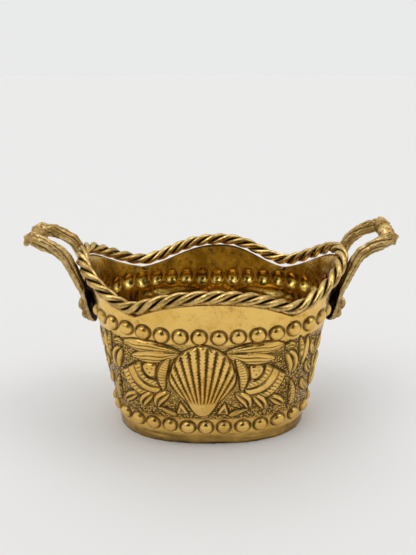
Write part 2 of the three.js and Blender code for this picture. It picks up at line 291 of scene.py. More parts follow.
def closed_stack(rings: Array, first_tip: Array, last_tip: Array) -> Skin:
    """Closed skin over a stack of rings, with a tip at each end.

    Args:
        rings: Places by ring and by place round it.
        first_tip: Place before the first ring, 1 by 3.
        last_tip: Place after the last ring, 1 by 3.
    Returns:
        Points and face groups.
    """
    count, sides = rings.shape[:2]
    tip = count * sides
    low = ring_fan(0, sides, tip)[:, ::-1]
    high = ring_fan((count - 1) * sides, sides, tip + 1)
    points = np.vstack([rings.reshape(-1, 3), first_tip, last_tip])
    return points, [grid_faces(count, sides, False, True)[:, ::-1], low, high]


def tube(path: Array, up: Array, radius: Array, sides: int,
         closed: bool) -> Skin:
    """Round tube along a path: point = centre + radius (cos a first + sin a second direction).

    Args:
        path: Places along the path.
        up: Guide direction for each place.
        radius: Radius at each place, or at each place and side.
        sides: Points round the tube.
        closed: Whether the tube is a ring; an open one gets its ends closed to a point.
    Returns:
        Points and face groups.
    """
    first, second = ring_frames(path, up, closed)
    angle = angles(sides)
    reach = radius if radius.ndim == 2 else radius[:, None] * np.ones(sides)
    points = path[:, None] + reach[..., None] * (
        np.cos(angle)[None, :, None] * first[:, None] + np.sin(angle)[None, :, None] * second[:, None])
    if closed:
        return points.reshape(-1, 3), [grid_faces(len(path), sides, True, True)[:, ::-1]]
    return closed_stack(points, path[:1], path[-1:])


def spun(profile: list[tuple[float, float]], sides: int) -> Array:
    """Places by side and corner: (r cos a, r sin a, h) for (radius r, height h) corners."""
    angle = angles(sides)
    around = np.stack([np.cos(angle), np.sin(angle), np.ones(sides)], -1)
    return around[:, None] * np.array(profile, float)[None, :, [0, 0, 1]]


def turned(profile: list[tuple[float, float]], sides: int) -> Skin:
    """Solid of revolution about Z from (radius, height) corners that start and end on the axis.

    Args:
        profile: Corners from the lowest place on the axis to the highest.
        sides: Points round the axis.
    Returns:
        Points and face groups.
    """
    rings = spun(profile[1:-1], sides)
    rows = rings.shape[1]
    points = np.vstack([rings.reshape(-1, 3), [[0, 0, profile[0][1]], [0, 0, profile[-1][1]]]])
    tip = sides * rows
    bottom = ring_fan(0, sides, tip, rows)[:, ::-1]
    top = ring_fan(rows - 1, sides, tip + 1, rows)
    return points, [grid_faces(sides, rows, True), bottom, top]


def outward(piece: Object) -> Object:
    """Turns a closed piece's faces outwards if its signed volume is negative."""
    mesh = piece.data
    mesh.calc_loop_triangles()
    count = len(mesh.loop_triangles)
    corners = np.empty(count * 3, np.int32)
    mesh.loop_triangles.foreach_get("vertices", corners)
    places = np.empty(len(mesh.vertices) * 3)
    mesh.vertices.foreach_get("co", places)
    a, b, c = places.reshape(-1, 3)[corners.reshape(-1, 3)].transpose(1, 0, 2)
    if np.einsum("ij,ij->", a, np.cross(b, c)) < 0:
        mesh.flip_normals()
    return piece


# ---- outline of the pot ----

class LobeShape(Enum):
    """How a side lobe of the rim falls from its middle to its valleys."""

    DOMED = "domed"
    WAVED = "waved"


@dataclass(frozen=True)
class Lobe:
    """Front or back lobe of the rim; its middle and valleys are shares of the half length."""

    middle: float
    left_valley: float
    right_valley: float
    rise: float
    shape: LobeShape
    power: float

    def fall(self, share: Array) -> Array:
        """1 at the middle and 0 at a valley: 1 - s^p when domed, (1 + cos(pi s^p)) / 2 when waved."""
        share = np.minimum(share, 1)
        if self.shape is LobeShape.DOMED:
            return 1 - share ** self.power
        return (1 + np.cos(np.pi * share ** self.power)) / 2


@dataclass(frozen=True)
class Body:
    """Oval flared body with a scalloped rim, in millimetres. Angle t runs anticlockwise from +X."""

    foot_half_length: float = 69.0
    foot_half_width: float = 42.6
    length_lean: float = 0.135
    width_lean: float = 0.139
    oval_power: float = 2.4
    end_flare: float = 2.2
    flare_drop: float = 23.4
    valley_height: float = 101.0
    end_lobe_rise: float = 23.6
    end_lobe_power: float = 1.15
    front_lobe: Lobe = Lobe(0.0, 0.605, 0.605, 13.0, LobeShape.DOMED, 2.2)
    back_lobe: Lobe = Lobe(0.09, 0.64, 0.70, 14.3, LobeShape.WAVED, 1.12)
    sheet: float = 1.0

    def half_length(self, z: Array) -> Array:
        """Half length of the outer face at height z."""
        flare = np.maximum(1 - (self.valley_height + self.end_lobe_rise - z) / self.flare_drop, 0)
        return self.foot_half_length + self.length_lean * z + self.end_flare * flare ** 2

    def half_width(self, z: Array) -> Array:
        """Half width of the outer face at height z."""
        return self.foot_half_width + self.width_lean * z

    def point(self, t: Array, z: Array, offset: float = 0.0) -> Array:
        """Places on the body: a rounded oval, |x/a|^n + |y/b|^n = 1, whose sizes grow with z.

        Args:
            t: Angles.
            z: Heights.
            offset: How far out of the outer face.
        Returns:
            Places, with x, y, z in the last axis.
        """
        x = (self.half_length(z) + offset) * rounded(np.cos(t), self.oval_power)
        y = (self.half_width(z) + offset) * rounded(np.sin(t), self.oval_power)
        return np.stack(np.broadcast_arrays(x, y, z), -1)

    def rim(self, t: Array) -> Array:
        """Height of the sheet's cut edge: a lobe at front, back and ends, and four valleys."""
        share = rounded(np.cos(t), self.oval_power)
        width_share = np.abs(rounded(np.sin(t), self.oval_power))
        front = self._half_rim(self.front_lobe, share, width_share)
        back = self._half_rim(self.back_lobe, share, width_share)
        return self.valley_height + np.where(np.sin(t) < 0, front, back)

    def beside(self, share: float | Array) -> float | Array:
        """Share of one half size at a share of the other, on the outline: (1 - s^n)^(1/n)."""
        return (1 - share ** self.oval_power) ** (1 / self.oval_power)

    def _half_rim(self, lobe: Lobe, share: Array, width_share: Array) -> Array:
        """Rise of one half's edge over the valleys: side lobe between them, cosine lobe past them."""
        valley = np.where(share < 0, lobe.left_valley, lobe.right_valley)
        left, right = lobe.left_valley + lobe.middle, lobe.right_valley - lobe.middle
        reach = np.where(share < lobe.middle, left, right)
        side = lobe.rise * lobe.fall(np.abs(share - lobe.middle) / reach)
        turn = np.minimum(width_share / self.beside(valley), 1) * np.pi / 2
        end = self.end_lobe_rise * np.maximum(np.cos(turn), 0) ** self.end_lobe_power
        return np.where(np.abs(share) <= valley, side, end)

    def smooth_rim(self, t: Array, window: float) -> Array:
        """Rim height averaged over a window to each side."""
        return np.mean([self.rim(t + step) for step in np.linspace(-window, window, 13)], axis=0)

    def arc(self, z: float, samples: int = 2881) -> tuple[Array, Array]:
        """Angles of a full turn and the length along the outline up to each, at height z."""
        t = np.linspace(0, FULL_TURN, samples)
        places = self.point(t, np.full_like(t, z))
        steps = np.linalg.norm(np.diff(places, axis=0), axis=1)
        return t, np.concatenate([[0.0], np.cumsum(steps)])

    def perimeter(self, z: Array) -> Array:
        """Length round the outline at height z, which grows evenly with height."""
        level = 90.0
        low, high = (self.arc(height)[1][-1] for height in (0.0, level))
        return low + (high - low) * z / level


# ---- pressed relief ----

class LeafStyle(Enum):
    """How the face of a pressed leaf is worked."""

    PLAIN = "plain"
    PLUME = "plume"
    SLIT = "slit"
    HATCHED = "hatched"


@dataclass
class ReliefField:
    """Relief on a grid of the opened-out wall: pressed form, chased detail, and dark hollows."""

    across: Array
    height: Array
    form: Array = field(init=False)
    detail: Array = field(init=False)
    cover: Array = field(init=False)
    dark: Array = field(init=False)
    ground: Array = field(init=False)
    edge_softness: float = 0.35
    groove_middle: float = 0.25
    groove_width: float = 0.6

    def __post_init__(self) -> None:
        """Starts from a smooth, clean sheet."""
        self.form, self.detail, self.cover, self.dark, self.ground = (
            np.zeros_like(self.across) for _ in range(5))

    def window(self, points: Array, margin: float) -> Window:
        """Rows and columns of the grid that hold a box round some points, with a margin."""
        low, high = points.min(0) - margin, points.max(0) + margin
        inside = ((self.across >= low[0]) & (self.across <= high[0])
                  & (self.height >= low[1]) & (self.height <= high[1]))
        columns, rows = np.nonzero(inside.any(1))[0], np.nonzero(inside.any(0))[0]
        if len(columns) == 0 or len(rows) == 0:
            return slice(0, 0), slice(0, 0)
        return slice(columns[0], columns[-1] + 1), slice(rows[0], rows[-1] + 1)

    def darken(self, part: Window, amount: Array) -> None:
        """Makes a window of the grid at least this dark."""
        self.dark[part] = np.maximum(self.dark[part], amount)

    def raise_to(self, part: Window, form: Array, edge_distance: Array,
                 groove: float = 0.45) -> Array:
        """Lays a shape over what is there, with a chased groove round its edge.

        Args:
            part: Window of the grid.
            form: Height of the shape.
            edge_distance: Distance to the shape's edge, negative inside.
            groove: Depth of the groove.
        Returns:
            1 inside the shape and 0 outside, with a soft step between.
        """
        inside = smooth(self.edge_softness, -self.edge_softness, edge_distance)
        line = bell(edge_distance - self.groove_middle, self.groove_width)
        self.form[part] = np.maximum(self.form[part] * (1 - inside), form * inside)
        self.detail[part] = self.detail[part] * (1 - inside) - groove * line
        self.dark[part] = np.maximum(self.dark[part] * (1 - inside), line)
        self.cover[part] = np.maximum(self.cover[part], smooth(1.0, -0.2, edge_distance))
        return inside


def flipped(points: Array, mirror: float, middle: float) -> Array:
    """Drawn places moved to a middle line, turned over for mirror -1."""
    return np.column_stack([middle + mirror * points[:, 0], points[:, 1]])


def to_stretch(dx: Array, dz: Array, step: Array) -> tuple[Array, Array]:
    """Nearest place of a straight stretch: the foot of the perpendicular, held to the stretch.

    Args:
        dx: Places' first coordinate, measured from the start of the stretch.
        dz: Places' second coordinate, measured likewise.
        step: The stretch from its start to its end.
    Returns:
        Share along the stretch, and distance.
    """
    along = np.clip((dx * step[0] + dz * step[1]) / float(step @ step + TINY), 0, 1)
    return along, np.hypot(dx - along * step[0], dz - along * step[1])


def spine_distance(field_x: Array, field_z: Array, spine: Array) -> tuple[Array, ...]:
    """Distance to a curve, the share of its length at the nearest place, and the side.

    Args:
        field_x: Places' first coordinate.
        field_z: Places' second coordinate.
        spine: Places along the curve.
    Returns:
        Distance, share from 0 to 1, and signed distance (positive to the left of the curve).
    """
    best = np.full(field_x.shape, np.inf)
    share = np.zeros_like(best)
    side = np.zeros_like(best)
    count = len(spine) - 1
    for k in range(count):
        start, step = spine[k], spine[k + 1] - spine[k]
        dx, dz = field_x - start[0], field_z - start[1]
        along, gap = to_stretch(dx, dz, step)
        nearer = gap < best
        best = np.where(nearer, gap, best)
        share = np.where(nearer, (k + along) / count, share)
        turn = np.sign(step[0] * dz - step[1] * dx)
        side = np.where(nearer, turn * gap, side)
    return best, share, side


def outline_distance(field_x: Array, field_z: Array, outline: Array) -> Array:
    """Signed distance to a closed outline, negative inside; inside is an odd number of crossings.

    Args:
        field_x: Places' first coordinate.
        field_z: Places' second coordinate.
        outline: Corners of the outline.
    Returns:
        Distance for each place.
    """
    best = np.full(field_x.shape, np.inf)
    crossings = np.zeros(field_x.shape, int)
    following = np.roll(outline, -1, 0)
    for start, end in zip(outline, following):
        step = end - start
        dx, dz = field_x - start[0], field_z - start[1]
        best = np.minimum(best, to_stretch(dx, dz, step)[1])
        between = (start[1] > field_z) != (end[1] > field_z)
        rise = step[1] if abs(step[1]) > TINY else TINY
        crossings += between & (field_x < start[0] + step[0] * (field_z - start[1]) / rise)
    return np.where(crossings % 2 == 1, -best, best)


@dataclass(frozen=True)
class Leaf:
    """A pressed leaf: a spine, a half width that swells between its ends, and a worked face."""

    spine: tuple[tuple[float, float], ...]
    half_width: float
    rise: float
    style: LeafStyle = LeafStyle.PLAIN
    fullness: float = 0.6
    widest: float = 0.5
    cut_depth: float = 0.45
    hatch_period: float = 2.3

    def press(self, relief: ReliefField, mirror: float, middle: float) -> None:
        """Presses the leaf into a relief, turned over for mirror -1, about a middle line.

        The half width is w sin(pi s^g)^f with s the share along the spine; the face is a
        pillow, rise (1 - u^2)^(1/2), u being the share of the half width. A slit leaf has two
        lips instead, rise sin(pi |u|^0.85)^0.6.

        Args:
            relief: Relief to press it into.
            mirror: +1 as drawn, -1 mirrored.
            middle: Place of the middle line across.
        """
        spine = flipped(spline(list(self.spine), 20), mirror, middle)
        part = relief.window(spine, self.half_width + 2.5)
        x, z = relief.across[part], relief.height[part]
        if x.size == 0:
            return
        gap, share, side = spine_distance(x, z, spine)
        bend = math.log(0.5) / math.log(self.widest)
        swell = np.sin(np.pi * np.clip(share, 1e-6, 1 - 1e-6) ** bend) ** self.fullness
        width = np.maximum(self.half_width * swell, 0.05)
        edge = gap - width
        u = np.clip(side / width, -1.2, 1.2) * mirror
        pillow = np.sqrt(np.clip(1 - u ** 2, 0, 1))
        if self.style is LeafStyle.SLIT:
            pillow = np.clip(np.sin(np.pi * np.clip(np.abs(u), 0.08, 1) ** 0.85), 0, 1) ** 0.6
        form = self.rise * pillow * np.minimum(1, 0.35 + 0.65 * width / self.half_width)
        inside = relief.raise_to(part, form, edge)
        length = np.linalg.norm(np.diff(spine, axis=0), axis=1).sum()
        self._work_face(relief, part, u, share * length, inside)

    def _work_face(self, relief: ReliefField, part: Window, u: Array,
                   along: Array, inside: Array) -> None:
        """Cuts veins, a slit or hatching into the face, by the share across and length along."""
        cut = np.zeros_like(u)
        if self.style is LeafStyle.PLUME:
            wander = 0.10 * np.sin(along * 0.35)
            for vein in (-0.42, 0.22):
                cut = np.maximum(cut, bell(u - vein - wander, 0.10))
        elif self.style is LeafStyle.SLIT:
            cut = bell(u, 0.26)
        elif self.style is LeafStyle.HATCHED:
            stroke = smooth(0.35, 0.95, np.cos(FULL_TURN * along / self.hatch_period))
            stroke = stroke * smooth(0.80, 0.55, np.abs(u + 0.10))
            cut = np.maximum(stroke * 0.7, bell(u - 0.70, 0.12))
        relief.detail[part] -= self.cut_depth * cut * inside
        relief.darken(part, np.clip(cut, 0, 1) * inside * 0.9)


@dataclass(frozen=True)
class Tablet:
    """A small raised shape with a closed outline of a few points and a sunk middle."""

    outline: tuple[tuple[float, float], ...]
    rise: float
    rounded: bool = True
    sunk: float = 0.0

    def press(self, relief: ReliefField, mirror: float, middle: float) -> None:
        """Presses the shape in: it rises over the first 1.8 mm from its edge and levels off.

        Args:
            relief: Relief to press it into.
            mirror: +1 as drawn, -1 mirrored.
            middle: Place of the middle line across.
        """
        count = 44 if self.rounded else len(self.outline)
        outline = spline(list(self.outline), count, closed=True) if self.rounded else np.array(self.outline)
        outline = flipped(outline, mirror, middle)
        part = relief.window(outline, 2.5)
        x, z = relief.across[part], relief.height[part]
        if x.size == 0:
            return
        edge = outline_distance(x, z, outline)
        depth = np.clip(-edge, 0, None)
        form = self.rise * smooth(-0.4, 1.8, depth) - self.sunk * smooth(1.3, 2.2, depth)
        relief.raise_to(part, form, edge)
        relief.darken(part, self.sunk * smooth(1.2, 1.9, depth) * 0.9)


@dataclass(frozen=True)
class ShellMotif:
    """The scallop shell: a fan of ribs over a low dome, with a smooth hinge at its foot."""

    half_outline: tuple[tuple[float, float], ...] = (
        (0.0, 83.8), (5.5, 82.0), (10.5, 79.6), (15.8, 75.0), (20.3, 66.5), (22.4, 58.0), (20.9, 50.5),
        (15.3, 42.8), (11.0, 37.4), (8.3, 32.0), (4.6, 27.0))
    foot: float = 25.3
    fan_centre: float = 17.0
    rib_angle: float = 5.6
    ribs_from: float = 37.0
    rise: float = 3.3
    dome_run: float = 13.0
    hinge_height: float = 31.0
    hinge_radius: float = 6.2
    hinge_rise: float = 0.5
    crown: float = 0.75
    groove_width: float = 0.14
    ladder_period: float = 2.5
    ladder_depth: float = 0.75
    knob_size: float = 1.5
    knob_rise: float = 0.22
    notch_depth: float = 0.7

    def press(self, relief: ReliefField, middle: float) -> None:
        """Presses the shell: dome by distance from the edge, ribs by angle about the fan centre.

        A rib's crown is cos^2 of its share off the middle, with a bell groove on each side;
        the ribs' flanks have nicks at even distances from the fan centre.

        Args:
            relief: Relief to press it into.
            middle: Place of the shell's middle line.
        """
        right = list(self.half_outline)
        left = [(-x, z) for x, z in reversed(right[1:])]
        outline = spline(right + [(0.0, self.foot)] + left, 90, closed=True)
        outline[:, 0] += middle
        part = relief.window(outline, 3.0)
        x, z = relief.across[part] - middle, relief.height[part]
        edge = outline_distance(x + middle, z, outline)
        depth = np.clip(-edge, 0, None)
        dome = self.rise * (0.45 * smooth(-0.3, 1.6, depth) + 0.55 * smooth(0.0, self.dome_run, depth))
        hinge = self.hinge_rise * bell(np.hypot(x, z - self.hinge_height), self.hinge_radius)
        turn = np.degrees(np.arctan2(x, z - self.fan_centre)) / self.rib_angle
        number = np.round(turn)
        off = turn - number
        fade = smooth(self.ribs_from - 1.0, self.ribs_from + 2.4, z) * smooth(0.2, 1.6, depth)
        groove = bell(np.abs(off) - 0.5, self.groove_width)
        ribs = (self.crown * np.cos(np.pi * off) ** 2 - groove) * fade
        reach = np.hypot(x, z - self.fan_centre)
        ladder = smooth(-0.1, 0.7, np.cos(FULL_TURN * reach / self.ladder_period + 1.9 * number))
        flank = bell(np.abs(off) - 0.40, 0.20) * (0.80 + 0.20 * smooth(4.0, -6.0, x))
        places = np.stack([x, z], -1)
        patchy = 0.80 + 0.35 * value_noise(places, 6.0, 5.0)
        nicks = ladder * flank * patchy * smooth(40, 50, z) * smooth(0.6, 2.0, depth)
        relief.raise_to(part, dome + hinge + 0.30 * ribs, edge, groove=0.7)
        knobs = self.knob_rise * value_noise(places, self.knob_size, 9.0)
        knobs = knobs * smooth(44, 54, z) * smooth(0.0, 1.5, depth)
        notch = bell(np.abs(off) - 0.5, 0.16) * bell(edge + 4.6, 1.9)
        notch = notch * (np.mod(number, 3) != 1) * smooth(70, 76, z)
        relief.detail[part] += 0.70 * ribs - self.ladder_depth * nicks + knobs - self.notch_depth * notch
        cut = np.maximum(groove * fade, np.maximum(nicks, notch)) * smooth(0.2, -0.4, edge)
        relief.darken(part, cut)


@dataclass(frozen=True)
class FanMotif:
    """Three nested curved bands, like the feathers of a wing, with hatching on two of them.

    The bands lie between arcs k = 0..3; arc k has its centre at centre + k step and the
    radius radius + k growth. For any place the number k of the arc through it is the lower
    root of a quadratic.
    """

    centre: tuple[float, float] = (26.5, 70.0)
    step: tuple[float, float] = (2.4, -3.4)
    radius: float = 15.8
    growth: float = 2.3
    rise: float = 2.0
    spacing: float = 4.6
    line_width: float = 0.34
    stroke_period: float = 2.9
    low_corner: tuple[float, float] = (24.0, 34.0)
    high_corner: tuple[float, float] = (60.0, 72.0)

    def press(self, relief: ReliefField, mirror: float, middle: float) -> None:
        """Presses the fan in, between two angles about the centre.

        Args:
            relief: Relief to press it into.
            mirror: +1 as drawn, -1 mirrored.
            middle: Place of the middle line across.
        """
        part = relief.window(flipped(np.array([self.low_corner, self.high_corner]), mirror, middle), 1.0)
        x = mirror * (relief.across[part] - middle) - self.centre[0]
        z = relief.height[part] - self.centre[1]
        if x.size == 0:
            return
        a = self.step[0] ** 2 + self.step[1] ** 2 - self.growth ** 2
        b = x * self.step[0] + z * self.step[1] + self.radius * self.growth
        c = x ** 2 + z ** 2 - self.radius ** 2
        number = (b - np.sqrt(np.maximum(b ** 2 - a * c, 0))) / a
        angle = np.degrees(np.arctan2(z - number * self.step[1], x - number * self.step[0]))
        spread = smooth(-4.0, -9.0, angle) * smooth(-96.0, -90.0, angle)
        ends = 0.25 * np.maximum(angle + 6.0, -94.0 - angle)
        edge = np.maximum(np.maximum(-number, number - 3.0) * self.spacing, ends)
        off = number - np.floor(number) - 0.5
        taper = 0.55 + 0.45 * smooth(-95.0, -50.0, angle)
        form = self.rise * np.sqrt(np.clip(1 - (2 * off) ** 2, 0, 1)) * taper
        inside = relief.raise_to(part, form, edge) * spread
        line = bell((np.abs(off) - 0.5) * self.spacing, self.line_width) * inside
        length = np.radians(angle) * (self.radius + self.growth * number)
        stroke = smooth(0.55, 0.96, np.cos(length * FULL_TURN / self.stroke_period))
        hatch = stroke * smooth(0.34, 0.24, np.abs(off + 0.10)) * (np.floor(number) != 1) * inside
        relief.detail[part] -= 0.5 * line + 0.35 * hatch
        relief.darken(part, np.maximum(line, 0.85 * hatch))


@dataclass(frozen=True)
class BeadRow:
    """A row of pressed beads on one wall, spaced along the sheet and rising to the ends."""

    count: int
    height: float
    end_rise: float
    shift: float
    radius: float = 5.0
    rise: float = 3.0
    ring_middle: float = 0.30
    ring_width: float = 0.85
    ring_depth: float = 0.55
    stray: tuple[float, ...] = (0.5, 0.7, 0.07, 0.08, 0.10)

    def centres(self, body: Body) -> list[tuple[float, float]]:
        """Bead centres as (length across from the wall's middle, height).

        Beads are evenly spaced along the sheet, then shifted by shift (1 - e^2), e being the
        share of the way to a seam; they rise by end_rise times the square of their x share.
        """
        half = float(body.perimeter(np.array(self.height))) / 4
        t, length = body.arc(self.height)
        spots = []
        for number in range(self.count):
            even = half * (2 * number + 1) / self.count - half
            across = even + self.shift * (1 - (even / half) ** 2)
            angle = np.interp(3 * half + across, length, t)
            end_share = rounded(math.cos(angle), body.oval_power)
            spots.append((across, self.height + self.end_rise * end_share ** 2))
        return spots

    def press(self, relief: ReliefField, body: Body, seed: int) -> None:
        """Presses each bead as a dome r -> rise (1 - (r/R)^2.1)^0.6 with a sunk ring round it.

        Args:
            relief: Relief to press them into.
            body: Pot whose sheet it is.
            seed: Number that picks how far each bead strays in place, size, roundness and height.
        """
        for number, (across, height) in enumerate(self.centres(body)):
            draws = [hash_unit(np.array(number * 3.0 + seed), np.array(k)) for k in range(len(self.stray))]
            aside, above, wider, flatter, fuller = (np.array(draws) - 0.5) * np.array(self.stray)
            place = np.array([[across + aside, height + above]])
            radius = self.radius * (1 + wider)
            part = relief.window(place, radius + 3.5)
            x, z = relief.across[part] - place[0, 0], relief.height[part] - place[0, 1]
            if x.size == 0:
                continue
            gap = np.hypot(x * (1 + flatter), z * (1 - flatter))
            dome = self.rise * (1 + fuller) * np.clip(1 - (gap / radius) ** 2.1, 0, 1) ** 0.6
            edge = gap - radius
            ring = bell(edge - self.ring_middle, self.ring_width)
            inside = smooth(0.5, -0.3, edge)
            relief.form[part] = relief.form[part] * (1 - smooth(2.2, 0.2, edge)) + dome
            relief.detail[part] *= 1 - smooth(1.6, 0.1, edge)
            relief.detail[part] -= self.ring_depth * ring
            relief.dark[part] = np.maximum(relief.dark[part] * (1 - inside), 0.82 * ring)
            relief.cover[part] = np.maximum(relief.cover[part], smooth(1.9, 0.2, edge))
            relief.ground[part] *= smooth(0.2, 1.6, edge)


@dataclass(frozen=True)
class WallPattern:
    """The whole pressed band of one wall: shell in the middle, fans, leaves, buds and ground."""

    middle: float = -7.0
    ground_low: float = 23.0
    ground_high: float = 83.5
    pebble: float = 2.2
    pebble_radius: float = 0.70
    pebble_rise: float = 0.30
    ground_sink: float = 0.26
    faintest_ground: float = 0.62
    dots: tuple[tuple[float, float], ...] = ((33.6, 63.8), (36.8, 63.2), (35.2, 60.2))
    dot_radius: float = 0.7
    leaves: tuple[Leaf, ...] = (
        Leaf(((13.5, 78), (26, 80.4), (41, 80.6), (54, 81.6)), 4.6, 2.2, LeafStyle.PLUME, 0.62, 0.62),
        Leaf(((14.5, 76.6), (24, 74.6), (36, 72.6), (48, 71.6)), 4.9, 2.1, LeafStyle.PLUME, 0.60, 0.55),
        Leaf(((21.6, 73.6), (25.6, 66), (27.4, 57), (26, 46)), 3.6, 2.1, LeafStyle.HATCHED, 0.6, 0.5),
        Leaf(((22.2, 45.2), (26, 42.2), (29.8, 38), (31.2, 32)), 4.1, 2.4, LeafStyle.SLIT, 0.45, 0.55),
        Leaf(((34, 42.4), (37.2, 39.6), (40.6, 35.2), (42.2, 30)), 3.9, 2.4, LeafStyle.SLIT, 0.45, 0.55),
        Leaf(((45.4, 39.4), (49.2, 37.4), (53, 34.2), (56.4, 30.6)), 3.7, 2.4, LeafStyle.SLIT, 0.45, 0.55),
        Leaf(((17.8, 25.2), (22, 27.4), (26.5, 29.6), (32, 30.6)), 2.2, 1.3, LeafStyle.PLUME, 0.7, 0.4),
        Leaf(((56.8, 74.6), (60, 70), (61.6, 63.6), (60.6, 56.6)), 4.6, 2.3, LeafStyle.SLIT, 0.5, 0.45),
        Leaf(((54.6, 78.4), (57.6, 79.8), (60.2, 79.4), (62.8, 77.8)), 2.4, 1.4, LeafStyle.SLIT, 0.5, 0.5),
        Leaf(((66, 84.5), (68, 78), (68.6, 71), (67.2, 64)), 2.1, 1.5, LeafStyle.PLUME, 0.7, 0.5),
        Leaf(((72.6, 83.5), (73, 76), (72, 68), (69.4, 60)), 2, 1.5, LeafStyle.PLAIN, 0.7, 0.5),
        Leaf(((84, 28), (83.2, 44), (83, 60), (84, 80)), 1, 1.2, LeafStyle.PLAIN, 0.3, 0.5),
        Leaf(((83, 34), (77.6, 37.4), (73.4, 42.2), (71, 48.6)), 3.2, 1.8, LeafStyle.PLUME, 0.7, 0.5),
        Leaf(((85, 34), (89.4, 37.4), (92.8, 42.2), (94.6, 48.6)), 3, 1.8, LeafStyle.PLUME, 0.7, 0.5),
        Leaf(((83, 49), (78.6, 52.2), (75.6, 56.8), (74.2, 62.6)), 2.9, 1.7, LeafStyle.SLIT, 0.7, 0.5),
        Leaf(((85, 49), (88.6, 52.2), (91.6, 56.8), (93, 62.6)), 2.8, 1.7, LeafStyle.SLIT, 0.7, 0.5),
        Leaf(((83.4, 63.5), (80.4, 67.4), (78.6, 72), (78.2, 78.6)), 2.4, 1.5, LeafStyle.PLUME, 0.7, 0.5),
        Leaf(((84.8, 63.5), (88, 67.4), (90, 72), (90.4, 78.6)), 2.4, 1.5, LeafStyle.PLUME, 0.7, 0.5),
        Leaf(((62.6, 27.2), (63.6, 34), (63.4, 42), (61.4, 50)), 2.9, 1.7, LeafStyle.HATCHED, 0.7, 0.45),
    )
    tablets: tuple[Tablet, ...] = (
        Tablet(((31.0, 66.4), (36.5, 67.4), (40.6, 64.8), (39.4, 59.8), (35.6, 56.2), (31.4, 57.6)), 1.5),
        Tablet(((15.2, 37.2), (18.2, 26.4), (9.4, 27.2)), 1.2, False, 0.7),
    )
    shell: ShellMotif = ShellMotif()
    fan: FanMotif = FanMotif()

    def press(self, relief: ReliefField) -> None:
        """Presses every motif, then fills what is left of the band with a pebbled ground.

        A pebble is a small dome round each dot of a scatter; the gaps between pebbles are dark,
        and darkest low down and towards the seams.

        Args:
            relief: Relief to press it into.
        """
        for mirror in (1.0, -1.0):
            self.fan.press(relief, mirror, self.middle)
            for shape in self.tablets + self.leaves:
                shape.press(relief, mirror, self.middle)
        self.shell.press(relief, self.middle)
        self._dots(relief)
        band = smooth(self.ground_low - 2, self.ground_low + 1, relief.height)
        band = band * smooth(self.ground_high + 2, self.ground_high - 1, relief.height)
        bare = band * (1 - relief.cover)
        places = np.stack([relief.across, relief.height], -1)
        gap = cell_distance(places, self.pebble, 1.0)
        stone = np.sqrt(np.clip(1 - (gap / self.pebble_radius) ** 2, 0, 1))
        aside = np.abs(relief.across - self.middle)
        fullest = np.maximum(smooth(22.0, 60.0, aside), smooth(46.0, 30.0, relief.height))
        depth = self.faintest_ground + (1 - self.faintest_ground) * fullest
        relief.detail += bare * (self.pebble_rise * stone - self.ground_sink)
        relief.ground = np.maximum(relief.ground, bare * depth)
        relief.dark = np.maximum(relief.dark, self.ground_sink * bare * depth * (1 - stone))

    def _dots(self, relief: ReliefField) -> None:
        """Punches three round dots into each eye-shaped tablet."""
        for mirror in (1.0, -1.0):
            for place in flipped(np.array(self.dots), mirror, self.middle):
                part = relief.window(place[None], 1.6)
                gap = np.hypot(relief.across[part] - place[0], relief.height[part] - place[1])
                dot = bell(gap, self.dot_radius)
                relief.detail[part] -= 0.5 * dot
                relief.darken(part, 0.8 * dot)


# ---- finishes ----

class Wire:
    """A socket in a node tree that sums and products can be written with."""

    def __init__(self, bench: "NodeBench", socket: NodeSocket) -> None:
        """Holds a node's output socket."""
        self.bench = bench
        self.socket = socket

    def _math(self, operation: str, *values: "Wire | float") -> "Wire":
        """Adds a Math node with this operation and values."""
        return self.bench.node("ShaderNodeMath", {"operation": operation}, dict(enumerate(values)))

    def __add__(self, other: "Wire | float") -> "Wire":
        """Sum."""
        return self._math("ADD", self, other)

    __radd__ = __add__

    def __mul__(self, other: "Wire | float") -> "Wire":
        """Product."""
        return self._math("MULTIPLY", self, other)

    __rmul__ = __mul__

    def __sub__(self, other: "Wire | float") -> "Wire":
        """Difference."""
        return self._math("SUBTRACT", self, other)

    def __rsub__(self, other: float) -> "Wire":
        """Difference from a number, as in 1 - mask."""
        return self._math("SUBTRACT", other, self)

    def __abs__(self) -> "Wire":
        """Size without the sign."""
        return self._math("ABSOLUTE", self)

    def over(self, other: "Wire | float") -> "Wire":
        """The larger of two values."""
        return self._math("MAXIMUM", self, other)

    def ramp(self, low: float, high: float, start: float = 0.0, end: float = 1.0) -> "Wire":
        """Maps low..high smoothly to start..end."""
        return self.bench.node("ShaderNodeMapRange", {"interpolation_type": "SMOOTHSTEP"}, {
            "Value": self, "From Min": low, "From Max": high, "To Min": start, "To Max": end})


